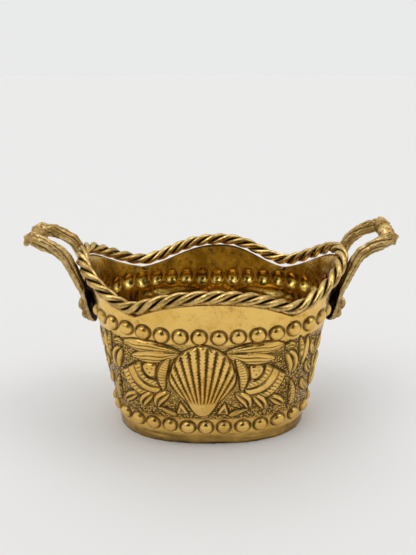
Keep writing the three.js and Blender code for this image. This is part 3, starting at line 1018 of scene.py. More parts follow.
class NodeBench:
    """An emptied node tree to build a finish or the surroundings in."""

    def __init__(self, owner: Material | World, coordinates: str) -> None:
        """Empties the owner's node tree and takes one kind of coordinates."""
        owner.use_nodes = True
        self.tree = owner.node_tree
        self.tree.nodes.clear()
        self.place = self.node("ShaderNodeTexCoord", {}, {}, coordinates)

    def node(self, kind: str, settings: dict, inputs: dict, output: str | int = 0) -> Wire:
        """Adds a node, sets it up, then fills its sockets.

        Args:
            kind: Blender's node type.
            settings: Properties set before the sockets, such as a Math node's operation.
            inputs: Socket name or number to a number, colour or wire.
            output: Name or number of the socket to hand back.
        Returns:
            The output socket as a wire.
        """
        node = self.tree.nodes.new(kind)
        for name, setting in settings.items():
            setattr(node, name, setting)
        for name, value in inputs.items():
            self.fill(node.inputs[name], value)
        return Wire(self, node.outputs[output])

    def fill(self, socket: NodeSocket, value: "Wire | float | tuple") -> None:
        """Links a wire to a socket, or sets a constant on it."""
        if isinstance(value, Wire):
            self.tree.links.new(value.socket, socket)
        elif isinstance(value, tuple) and socket.type == "RGBA":
            socket.default_value = (*value, 1.0)
        else:
            socket.default_value = value

    def finish(self, kind: str, surface: Wire) -> None:
        """Joins a surface to the tree's output node."""
        self.fill(self.tree.nodes.new(kind).inputs["Surface"], surface)


class Recipe(NodeBench):
    """The node tree of one finish, round one metal shader."""

    def __init__(self, name: str) -> None:
        """Starts a material whose shader is joined to its output."""
        self.material = bpy.data.materials.new(name)
        super().__init__(self.material, "Object")
        self.shader = self.node("ShaderNodeBsdfPrincipled", {}, {})
        self.finish("ShaderNodeOutputMaterial", self.shader)

    def noise(self, scale: float, detail: float = 4.0, roughness: float = 0.55,
              stretch: Triple = (1.0, 1.0, 1.0)) -> Wire:
        """Fractal noise on object coordinates, with one scale for each axis."""
        place = self.place
        if stretch != (1.0, 1.0, 1.0):
            place = self.node("ShaderNodeMapping", {}, {"Vector": place, "Scale": stretch})
        return self.node("ShaderNodeTexNoise", {}, {
            "Vector": place, "Scale": scale, "Detail": detail, "Roughness": roughness})

    def mark(self, name: str) -> Wire:
        """Value stored on the mesh under a name."""
        return self.node("ShaderNodeAttribute", {"attribute_name": name}, {}, "Fac")

    def blend(self, share: "Wire | float", first: "Wire | tuple", second: "Wire | tuple") -> Wire:
        """Colour between two colours."""
        return self.node("ShaderNodeMix", {"data_type": "RGBA"}, {0: share, 6: first, 7: second}, 2)

    def bump(self, height: Wire, depth: float, strength: float, normal: Wire | None = None) -> Wire:
        """Bump from a height of 0 to 1 that stands for a depth in metres."""
        inputs = {"Height": height, "Distance": depth, "Strength": strength}
        if normal is not None:
            inputs["Normal"] = normal
        return self.node("ShaderNodeBump", {}, inputs)

    def shade(self, **values: "Wire | float | tuple") -> Material:
        """Fills the shader's sockets, named with underscores for spaces."""
        for name, value in values.items():
            self.fill(self.shader.socket.node.inputs[name.replace("_", " ")], value)
        return self.material


@dataclass(frozen=True)
class AgedBrass:
    """Brass with polish on its high places, brown patina in its hollows and near-black in the deepest; the
    same brown and near-black also paint shade where the hollow mark holds painted shade.

    Colours are linear. Blotches, clouds, specks and grain are fractal noises on object
    coordinates; the mesh brings its own marks for hollows, which also hold painted shade, and for pebbled
    ground.
    """

    name: str
    clean: Triple = (0.89, 0.58, 0.16)
    warm: Triple = (0.77, 0.465, 0.105)
    tarnish_and_shade: Triple = (0.31, 0.185, 0.048)
    soot_and_shade: Triple = (0.035, 0.022, 0.010)
    age: float = 0.35
    roughness: float = 0.26
    grain_depth: float = 0.00025
    blotch_scale: float = 34.0
    speck_scale: float = 520.0
    pebble_scale: float = 0.0
    pebble_depth: float = 0.0007
    soot_and_shade_share: float = 0.86

    def make(self) -> Material:
        """Builds the material."""
        r = Recipe(self.name)
        hollow = r.mark("hollow")
        blotch = r.noise(self.blotch_scale, 5.0, 0.62)
        cloud = r.noise(self.blotch_scale * 3.4, 4.0, 0.6)
        speck = r.noise(self.speck_scale, 2.0, 0.5)
        grain = r.noise(self.speck_scale * 2.2, 3.0, 0.65)
        warmth = (blotch * 0.65 + cloud * 0.35).ramp(0.40, 0.62)
        metal = r.blend(warmth, self.clean, self.warm)
        dulled = (cloud * 0.6 + speck * 0.4 + self.age - 0.5).ramp(0.36, 0.62)
        # Brown where the hollow mark is set: patina in the relief, and painted shade at the foot, behind the
        # plates and between the rope's wires.
        stain_and_shade = (hollow.ramp(0.05, 0.55) * 0.85).over(dulled * 0.75)
        metal = r.blend(stain_and_shade, metal, self.tarnish_and_shade)
        # Near-black where the hollow mark is deepest: patina in deep grooves, and painted shade.
        metal = r.blend(hollow.ramp(0.42, 1.0) * self.soot_and_shade_share, metal, self.soot_and_shade)
        rough = speck * 0.10 + warmth * 0.06 + stain_and_shade * 0.22 + (self.roughness - 0.05)
        fine = r.bump(grain, self.grain_depth, 0.25)
        if self.pebble_scale:
            ground = r.mark("ground")
            gap = r.node("ShaderNodeTexVoronoi", {}, {
                "Vector": r.place, "Scale": self.pebble_scale, "Randomness": 0.85})
            stone = gap.ramp(0.62, 0.22)
            metal = r.blend(ground * gap.ramp(0.38, 0.60) * 0.90, metal, self.soot_and_shade)
            fine = r.bump(stone * ground, self.pebble_depth, 0.9, fine)
        soft = r.bump(cloud, self.grain_depth * 6, 0.35, fine)
        return r.shade(Base_Color=metal, Roughness=rough, Metallic=1.0, Normal=soft)


@dataclass(frozen=True)
class InnerBrass:
    """The pot's inside: golden brown and shinier, with water stains and painted shade round the dents."""

    name: str = "inner_brass"
    glow: Triple = (0.88, 0.64, 0.18)
    brown: Triple = (0.52, 0.34, 0.075)
    stain_and_shade: Triple = (0.12, 0.075, 0.022)

    def make(self) -> Material:
        """Builds the material."""
        r = Recipe(self.name)
        cloud = r.noise(55.0, 6.0, 0.65, (1.0, 1.0, 0.55))
        spot = r.noise(160.0, 4.0, 0.6)
        speck = r.noise(600.0, 2.0, 0.5)
        hollow = r.mark("hollow")
        metal = r.blend(cloud.ramp(0.42, 0.60), self.glow, self.brown)
        # The dark colour paints both the water stains and the painted shade round the dents.
        metal = r.blend((spot.ramp(0.52, 0.70) * 0.7).over(hollow.ramp(0.2, 1.0) * 0.8), metal, self.stain_and_shade)
        rough = speck * 0.08 + spot * 0.16 + 0.12
        wave = r.bump(cloud, 0.0016, 0.30)
        return r.shade(Base_Color=metal, Roughness=rough, Metallic=1.0,
                       Normal=r.bump(spot, 0.0006, 0.30, wave))


@dataclass(frozen=True)
class MottledMetal:
    """Dull metal in two colours, clouded by a fine noise and darker where the mesh marks hollows."""

    name: str
    light: Triple
    dark: Triple
    cloud_scale: float
    cloud_from: float
    cloud_to: float
    roughness: float
    strength: float
    pit_depth: float = 0.0004

    def make(self) -> Material:
        """Builds the material."""
        r = Recipe(self.name)
        cloud = r.noise(self.cloud_scale, 4.0, 0.6)
        share = cloud.ramp(self.cloud_from, self.cloud_to).over(r.mark("hollow"))
        return r.shade(Base_Color=r.blend(share, self.light, self.dark), Metallic=1.0,
                       Roughness=cloud * 0.3 + self.roughness,
                       Normal=r.bump(cloud, self.pit_depth, self.strength))


class Finishes:
    """Every finish of the pot, made once."""

    def __init__(self) -> None:
        """Builds the materials."""
        self.pressed = AgedBrass("pressed_brass", roughness=0.19, pebble_scale=620.0).make()
        self.inner = InnerBrass().make()
        self.roped = AgedBrass("rope_brass", clean=(0.90, 0.65, 0.24), warm=(0.62, 0.41, 0.125),
                               age=0.46, roughness=0.23).make()
        self.cast = AgedBrass("cast_brass", clean=(0.72, 0.52, 0.22), warm=(0.48, 0.31, 0.105),
                              age=0.50, roughness=0.33, grain_depth=0.0005).make()
        self.copper = MottledMetal("old_copper", (0.62, 0.22, 0.10), (0.22, 0.07, 0.03),
                                   420.0, 0.42, 0.64, 0.22, 0.4).make()
        self.solder = MottledMetal("dull_solder", (0.40, 0.30, 0.16), (0.16, 0.11, 0.05),
                                   500.0, 0.40, 0.62, 0.30, 0.5).make()


def dress(piece: Object, slot: str, *materials: Material) -> Object:
    """Gives a piece its materials, lets it ride on the pot, and reports it with its finish slot's name."""
    for material in materials:
        piece.data.materials.append(material)
    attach(piece, BODY)
    log.info("%s: %d faces, finish %s", piece.name, len(piece.data.polygons), slot)
    return piece


# ---- walls and base ----

@dataclass
class PressedWall:
    """One half of the body: a 1 mm sheet pressed with beads, shell, fans and leaves."""

    name: str
    side: float
    body: Body
    rows: tuple[BeadRow, ...]
    pattern: WallPattern
    columns: int = 360
    crowding: float = 0.28
    seam_gap: float = 0.15
    foot_top: float = 8.0
    shoulder: float = 97.0
    foot_rows: int = 6
    band_rows: int = 165
    top_rows: int = 14
    inner_step: int = 3
    deepest_cut: float = 0.62
    dent_share: float = 0.35

    def build(self, finishes: Finishes) -> Object:
        """Makes the wall, outer face = sheet + form + detail + dents, and dresses both faces.

        The inner face follows the softened form one sheet thickness further in.
        """
        base, across, out = self._sheet()
        relief = self._relief(across, base[..., 2])
        form = relief.form
        detail = np.maximum(relief.detail, -self.deepest_cut)
        dent = 0.35 * value_noise(base, 26.0, 2.0) + 0.18 * value_noise(base, 9.0, 5.0)
        dent = dent + 0.9 * value_noise(base, 3.4, 7.0) * smooth(4.0, 1.0, base[..., 2])
        dent = dent * self.dent_share * (1 - relief.cover)
        outer = base + out * (form + detail + dent)[..., None]
        picked = self._inner_rows()
        soft = self._soften(form)
        inner = (base + out * (soft - self.body.sheet + dent)[..., None])[:, picked]
        for face in (outer, inner):
            face[..., 1] = self.side * np.maximum(self.side * face[..., 1], self.seam_gap)
            face[..., 2] = np.maximum(face[..., 2], 0.0)
        points, faces, inner_first = self._stitch(outer, inner, picked)
        # Patina in the relief's hollows, plus painted shade on the foot and behind the handle plates.
        grime_and_shade = self._grime_and_shade(base, relief)
        # Painted shade on the flanks of the dents, seen from inside.
        dent_rim_shade = smooth(0.10, 0.55, soft) * smooth(2.1, 1.0, soft)
        marks = {
            "hollow": np.concatenate([grime_and_shade.ravel(), dent_rim_shade[:, picked].ravel()]),
            "ground": np.concatenate([relief.ground.ravel(), np.zeros(inner[..., 0].size)])}
        piece = mesh_piece(self.name, points, faces, marks)
        numbers = np.zeros(len(piece.data.polygons), np.int32)
        numbers[inner_first[0]:inner_first[1]] = 1
        piece.data.polygons.foreach_set("material_index", numbers)
        return dress(outward(piece), "pressed_brass", finishes.pressed, finishes.inner)

    def _heights(self) -> Array:
        """Row heights below the shoulder; the rows above it follow the cut edge."""
        foot = np.linspace(0, self.foot_top, self.foot_rows, endpoint=False)
        band = np.linspace(self.foot_top, self.shoulder, self.band_rows, endpoint=False)
        return np.concatenate([foot, band])

    def _sheet(self) -> tuple[Array, Array, Array]:
        """Plain outer face as a grid, the length across at each place, and outward directions.

        Columns are spaced along the outline half way up, closer in the middle than at the
        seams: share = s + crowding sin(2 pi s) / (2 pi) with s from 0 to 1. Rows are
        level up to the shoulder; above it, z = shoulder + (rim - shoulder) share.

        Returns:
            Places, lengths across from the wall's middle, and unit normals.
        """
        t, length = self.body.arc(60.0)
        half = length[-1] / 2
        first = half if self.side < 0 else 0.0
        even = np.linspace(0, 1, self.columns)
        placed = even + self.crowding * np.sin(FULL_TURN * even) / FULL_TURN
        angle = np.interp(first + half * placed, length, t)[:, None]
        share = np.linspace(0, 1, self.top_rows)[None, :]
        top = self.shoulder + (self.body.rim(angle) - self.shoulder) * share
        low = np.broadcast_to(self._heights()[None, :], (self.columns, len(self._heights())))
        z = np.concatenate([low, top], 1)
        base = self.body.point(angle, z)
        steps = np.linalg.norm(np.diff(base[..., :2], axis=0), axis=-1)
        across = np.concatenate([np.zeros((1, z.shape[1])), np.cumsum(steps, 0)])
        across = across - across[-1:] / 2
        along = np.gradient(base, axis=0)
        along[..., 2] = 0.0
        rise = self.body.point(angle, z + 0.5) - self.body.point(angle, z - 0.5)
        out = np.cross(along, rise)
        out /= np.linalg.norm(out, axis=-1, keepdims=True)
        return base, across, out

    def _relief(self, across: Array, height: Array) -> ReliefField:
        """Relief of the whole wall: pattern first, then the bead rows over it."""
        relief = ReliefField(across, height)
        self.pattern.press(relief)
        for number, row in enumerate(self.rows):
            row.press(relief, self.body, 7 * number + (2 if self.side < 0 else 5))
        return relief

    def _inner_rows(self) -> Array:
        """Numbers of the rows that the inner face keeps: all the top ones, fewer below."""
        foot = np.arange(0, self.foot_rows, self.inner_step)
        band = self.foot_rows + np.arange(0, self.band_rows, self.inner_step)
        top = self.foot_rows + self.band_rows + np.arange(self.top_rows)
        return np.concatenate([foot, band, top])

    def _soften(self, form: Array) -> Array:
        """Pressed form as it shows inside: averaged with its neighbours, and never much fuller."""
        soft = form.copy()
        soft[1:-1] = (soft[:-2] + 2 * soft[1:-1] + soft[2:]) / 4
        soft[:, 1:-1] = (soft[:, :-2] + 2 * soft[:, 1:-1] + soft[:, 2:]) / 4
        return np.minimum(soft, form + 0.35)

    def _grime_and_shade(self, base: Array, relief: ReliefField) -> Array:
        """Mark for hollows: dark lines, a streaked band of painted shade on the foot, and painted shade
        behind a handle's plate.

        Args:
            base: Places on the plain outer face.
            relief: The wall's relief.
        Returns:
            0 where the brass is clean, 1 where it is black.
        """
        x, y, z = np.moveaxis(base, -1, 0)
        streak = value_noise(base * np.array([0.22, 0.22, 2.4]), 3.0, 4.0)
        # Painted shade on the foot: darker towards the bottom, streaked, darkest at the bottom edge.
        foot = smooth(11.5, 7.0, z) * (0.42 + 0.24 * streak) + 0.28 * smooth(3.2, 0.4, z)
        # Painted shade on the wall behind each handle's plate.
        behind = smooth(19.5, 16.5, np.abs(y)) * smooth(75.0, 80.0, z) * smooth(117.0, 108.0, z)
        behind = behind * (np.abs(x) > 60.0)
        ragged = 1 + 0.25 * value_noise(base, 3.1, 8.0)
        return np.clip(np.maximum(np.maximum(1.08 * relief.dark, foot) * ragged, behind), 0, 1)

    def _stitch(self, outer: Array, inner: Array,
                picked: Array) -> tuple[Array, list[Array], tuple[int, int]]:
        """Joins the two faces round their borders into one closed sheet.

        Args:
            outer: Outer grid.
            inner: Inner grid.
            picked: The outer row beside each inner row.
        Returns:
            Points, face groups, and the first and last number of the inner face's quads.
        """
        columns, rows = outer.shape[:2]
        few = inner.shape[1]
        shift = columns * rows
        points = np.concatenate([outer.reshape(-1, 3), inner.reshape(-1, 3)])
        front = grid_faces(columns, rows)
        back = grid_faces(columns, few, first=shift)[:, ::-1]
        i = np.arange(columns - 1)
        lip = np.stack([i * rows + rows - 1, (i + 1) * rows + rows - 1,
                        shift + (i + 1) * few + few - 1, shift + i * few + few - 1], 1)
        foot = np.stack([(i + 1) * rows, i * rows, shift + i * few, shift + (i + 1) * few], 1)
        k = np.arange(rows - 1)
        beside = np.searchsorted(picked, k, side="right") - 1
        following = np.searchsorted(picked, k + 1, side="right") - 1
        ends = []
        for column, turn in ((0, 1), (columns - 1, -1)):
            start, inner_start = column * rows, shift + column * few
            thin = np.stack([start + k, start + k + 1, inner_start + beside], 1)
            moved = following != beside
            close = np.stack([start + k + 1, inner_start + following, inner_start + beside], 1)[moved]
            ends += [thin[:, ::turn], close[:, ::turn]]
        return points, [front, back, lip, foot] + ends, (len(front), len(front) + len(back))


@dataclass
class BasePlate:
    """Thin oval plate let into the foot, lightly hammered."""

    body: Body
    rings: int = 22
    sides: int = 160

    def build(self, finishes: Finishes) -> Object:
        """Makes the plate: |x/a|^n + |y/b|^n = s^n on rings s, with small dents on both faces."""
        low, high = (np.array(corner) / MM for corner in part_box("base_plate"))
        half = (high - low) / 2
        share = np.sin(np.linspace(0, np.pi / 2, self.rings))[1:]
        angle = angles(self.sides)
        oval = rounded(np.stack([np.cos(angle), np.sin(angle)], -1), self.body.oval_power) * half[:2]
        flat = oval[:, None] * share[None, :, None]
        dents = 0.16 * value_noise(flat, 7.0, 3.0) * (1 - share[None, :] ** 8)
        crown = np.minimum((1 - share) * 6, 1) ** 0.5
        thick, middle = half[2], (high[2] + low[2]) / 2
        sheets = []
        for face in (1, -1):
            z = middle + face * thick * (0.45 + 0.40 * crown)[None, :] + dents
            sheets.append(np.concatenate([flat, np.clip(z, low[2], high[2])[..., None]], -1))
        points = np.concatenate([sheet.reshape(-1, 3) for sheet in sheets]
                                + [[[0, 0, middle + 0.8 * thick], [0, 0, middle - 0.8 * thick]]])
        rows = self.rings - 1
        size = self.sides * rows
        turn = np.arange(self.sides)
        following = (turn + 1) % self.sides
        top = grid_faces(self.sides, rows, True)[:, ::-1]
        under = grid_faces(self.sides, rows, True, first=size)
        rim = np.stack([turn * rows + rows - 1, following * rows + rows - 1,
                        size + following * rows + rows - 1, size + turn * rows + rows - 1], 1)[:, ::-1]
        cap = ring_fan(0, self.sides, 2 * size, rows)
        floor = ring_fan(size, self.sides, 2 * size + 1, rows)[:, ::-1]
        piece = mesh_piece("pressed_base", points, [top, under, rim, cap, floor],
                           {"hollow": np.full(len(points), 0.25)})
        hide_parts("base_plate")
        return dress(outward(piece), "pressed_brass", finishes.inner)


# ---- rope and tacks ----

@dataclass
class RimRope:
    """Three wires laid left-handed into a rope that runs round the rim, clear of its edge."""

    body: Body
    strand_radius: float = 1.9
    strand_gap: float = 0.3
    lay_allowance: float = 1.025
    turns: float = 15.0
    window: float = math.radians(7)
    clearance: float = 0.8
    steps: int = 880
    sides: int = 26
    ridges: int = 7
    sway: float = 0.16
    knots: int = 96

    def helix_radius(self) -> float:
        """Radius of the wires' middle lines about the rope's middle line."""
        return self.lay_allowance * (2 * self.strand_radius + self.strand_gap) / (2 * math.sin(math.pi / 3))

    def radius(self) -> float:
        """Outer radius of the rope."""
        return self.helix_radius() + self.strand_radius

    def centre(self, t: Array) -> Array:
        """Middle of the rope: square above the sloping edge, the clearance away from it."""
        t = np.asarray(t, float)
        step = 0.02
        rims = [self.body.smooth_rim(t + turn * step, self.window) for turn in (-1, 0, 1)]
        before = self.body.point(t - step, rims[0])
        after = self.body.point(t + step, rims[2])
        run = np.hypot(after[..., 0] - before[..., 0], after[..., 1] - before[..., 1])
        slope = np.arctan2(rims[2] - rims[0], run)
        lift = (self.radius() + self.clearance) / np.cos(slope)
        return self.body.point(t, rims[1] + lift, -self.body.sheet / 2)

    def path(self) -> Array:
        """Places along the rope's middle line, evenly spaced by length."""
        knots = self.centre(angles(self.knots))
        dense = spline([tuple(knot) for knot in knots], self.knots * 24, closed=True)
        loop = np.vstack([dense, dense[:1]])
        length = np.concatenate([[0], np.cumsum(np.linalg.norm(np.diff(loop, axis=0), axis=1))])
        even = np.arange(self.steps) / self.steps * length[-1]
        return np.stack([np.interp(even, length, loop[:, axis]) for axis in range(3)], 1)

    def build(self, finishes: Finishes) -> list[Object]:
        """Makes the three wires as closed tubes with a slightly hand-drawn section.

        A wire's middle is centre + h (cos a outward + sin a across), a = phase - 2 pi turns u
        plus a little sway. Its radius is r (1 + noise + drawn ridges, a cosine round the
        section); it has painted shade where it faces the other wires, and is darker in patches and in the
        grooves between its drawn ridges.
        """
        path = self.path()
        outward_line = path * np.array([1.0, 1.0, 0.0])
        first, second = ring_frames(path, outward_line, True)
        u = np.arange(self.steps) / self.steps
        sway = self.sway * value_noise(np.stack([u * 31, np.full_like(u, 2.0)], -1), 1.0, 6.0)
        around = angles(self.sides)
        pieces = []
        for number in range(3):
            angle = FULL_TURN * (number / 3 - self.turns * u) + sway * np.sin(np.pi * u)
            offset = self.helix_radius() * (np.cos(angle)[:, None] * first + np.sin(angle)[:, None] * second)
            line = path + offset
            uneven = value_noise(np.stack([u * 190, np.full_like(u, number * 9.0)], -1), 1.0, number)
            facet = value_noise(np.stack(np.broadcast_arrays(
                u[:, None] * 420, np.cos(around) * 1.3 + number * 5, np.sin(around) * 1.3), -1), 1.0, 3.0)
            drawn = np.cos(self.ridges * around[None, :] + 3.0 * facet + 0.6 * uneven[:, None])
            radius = self.strand_radius * (1 + 0.030 * uneven[:, None] + 0.02 * facet + 0.028 * drawn)
            points, faces = tube(line, offset, radius, self.sides, True)
            # Painted shade on the side of each wire that faces the rope's middle, plus darker patches and
            # darker grooves between the drawn ridges.
            inwards = (1 - np.cos(around)) / 2
            shade_and_tarnish = np.maximum(smooth(0.20, 0.66, inwards)[None, :], 0.40 * smooth(0.15, 0.6, facet))
            shade_and_tarnish = np.maximum(shade_and_tarnish, 0.36 * smooth(-0.25, -0.95, drawn))
            piece = mesh_piece(f"roped_wire_{number + 1}", points, faces, {"hollow": shade_and_tarnish.ravel()})
            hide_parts(f"rope_strand_{number + 1}")
            pieces.append(dress(outward(piece), "rope_brass", finishes.roped))
        return pieces


@dataclass
class SolderTacks:
    """Small solder lumps inside the edge that hold the rope."""

    count: int = 6
    sides: int = 16
    rings: int = 9

    def build(self, finishes: Finishes) -> list[Object]:
        """Makes each lump as an uneven ball in the place and size of its stand-in."""
        pieces = []
        for number in range(1, self.count + 1):
            low, high = (np.array(corner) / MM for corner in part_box(f"rope_tack_{number}"))
            bend = np.linspace(-np.pi / 2, np.pi / 2, self.rings)
            profile = [(math.cos(a), math.sin(a)) for a in bend]
            profile[0], profile[-1] = (0.0, -1.0), (0.0, 1.0)
            points, faces = turned(profile, self.sides)
            lumpy = 1 + 0.13 * value_noise(points * 1.3 + number * 7.0, 1.0, 4.0)
            points = (low + high) / 2 + points * (high - low) / 2 * 0.93 * lumpy[:, None]
            piece = mesh_piece(f"solder_tack_{number}", points, faces, {"hollow": np.zeros(len(points))})
            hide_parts(f"rope_tack_{number}")
            pieces.append(dress(outward(piece), "solder", finishes.solder))
        return pieces


# ---- handles and rivets ----

@dataclass
class LeafPlate:
    """Where a handle's leaf-shaped plate lies on the end wall: across in Y, up, and out."""

    body: Body
    middle_height: float = 96.0
    half_width: float = 18.5
    drop: float = 18.5
    rise: float = 17.0
    stand_off: float = 3.3
    thickness: float = 5.0
    widest: float = 7.65
    vein_spacing: float = 6.0

    def lean(self) -> float:
        """Angle of the end wall from upright."""
        return math.atan(self.body.length_lean)

    def out(self) -> Array:
        """Direction square out of the end wall."""
        return np.array([math.cos(self.lean()), 0.0, -math.sin(self.lean())])

    def up(self) -> Array:
        """Direction up along the end wall."""
        return np.array([math.sin(self.lean()), 0.0, math.cos(self.lean())])

    def point(self, across: Array, up: Array, out: Array) -> Array:
        """Places from the plate's own measures."""
        across, up, out = np.broadcast_arrays(*(np.asarray(v, float) for v in (across, up, out)))
        x = float(self.body.half_length(np.array(self.middle_height)))
        start = np.stack([np.full_like(across, x), across, np.full_like(across, self.middle_height)], -1)
        return start + up[..., None] * self.up() + out[..., None] * self.out()

    def wall_behind(self, across: float, up: float) -> float:
        """How far the curved wall's inner face lies behind the plate's zero plane."""
        place = self.point(np.array(across), np.array(up), np.array(0.0))
        height = np.array(place[2])
        share = abs(across) / float(self.body.half_width(height))
        wall = float(self.body.half_length(height)) * self.body.beside(share)
        return (place[0] - wall) * math.cos(self.lean()) + self.body.sheet

    def shell(self, rows: int = 70, sides: int = 84) -> Skin:
        """The plate as a closed cushion with a leaf outline, veins, lobes and a scalloped edge.

        Width w(up) is an ellipse quarter below the widest place and a squarer one above it;
        a section runs across = w cos a, out = thickness (sin a)^0.45, flat behind.

        Args:
            rows: Sections from the lower tip to the upper one.
            sides: Places round a section.
        Returns:
            Points and face groups.
        """
        up = -self.drop + (self.drop + self.rise) * (1 - np.cos(np.linspace(0, np.pi, rows))) / 2
        low = np.clip((self.widest - up) / (self.widest + self.drop), 0, 1) ** 2
        high = np.clip((up - self.widest) / (self.rise - self.widest), 0, 1) ** 2.6
        width = self.half_width * np.sqrt(np.clip(1 - low - high, 0, 1))
        width *= 0.93 + 0.07 * np.abs(np.cos(up * np.pi / 8.5 + 0.5))
        angle = angles(sides)
        across = width[:, None] * np.cos(angle)[None, :]
        upper = np.clip(np.sin(angle), 0, 1)[None, :] ** 0.45
        slant = np.mod(up[:, None] - 0.75 * np.abs(across), self.vein_spacing) - self.vein_spacing / 2
        vein = bell(across, 0.9) + 0.8 * bell(slant, 0.6)
        lobe = 0.10 * np.cos(up[:, None] * 0.95) * np.cos(across * 0.62)
        lift = self.thickness * upper * (0.88 + lobe - 0.26 * np.clip(vein, 0, 1) * (upper > 0.5))
        points = self.point(across, up[:, None] * np.ones(sides), self.stand_off + lift + 0.05)
        tips = self.point(np.zeros(2), np.array([-self.drop, self.rise]), np.full(2, self.stand_off + 1.0))
        return closed_stack(points, tips[:1], tips[1:])


@dataclass(frozen=True)
class Sprig:
    """One small cast leaf or bud of a handle: its middle, the way it points, and its size."""

    place: Triple
    points_to: Triple
    length: float = 5.0
    width: float = 2.8
    depth: float = 1.7

    def shell(self, centre: Array) -> Skin:
        """A flattened, pointed drop turned about its own length, then aimed and moved.

        Args:
            centre: Where the place is measured from, such as the middle of the grip.
        Returns:
            Points and face groups.
        """
        drop = [(0, -1), (0.42, -0.86), (0.78, -0.50), (0.98, -0.05), (0.86, 0.35), (0.52, 0.70), (0, 1)]
        points, faces = turned(drop, 18)
        points = points * np.array([self.width, self.depth, self.length])
        along = np.array(self.points_to) / np.linalg.norm(self.points_to)
        flat = np.array(self.place) + np.array([0.0, 1e-3, 2e-3])
        flat = flat - (flat @ along) * along
        flat /= np.linalg.norm(flat)
        side = np.cross(flat, along)
        return centre + np.array(self.place) + points @ np.stack([side, flat, along]), faces


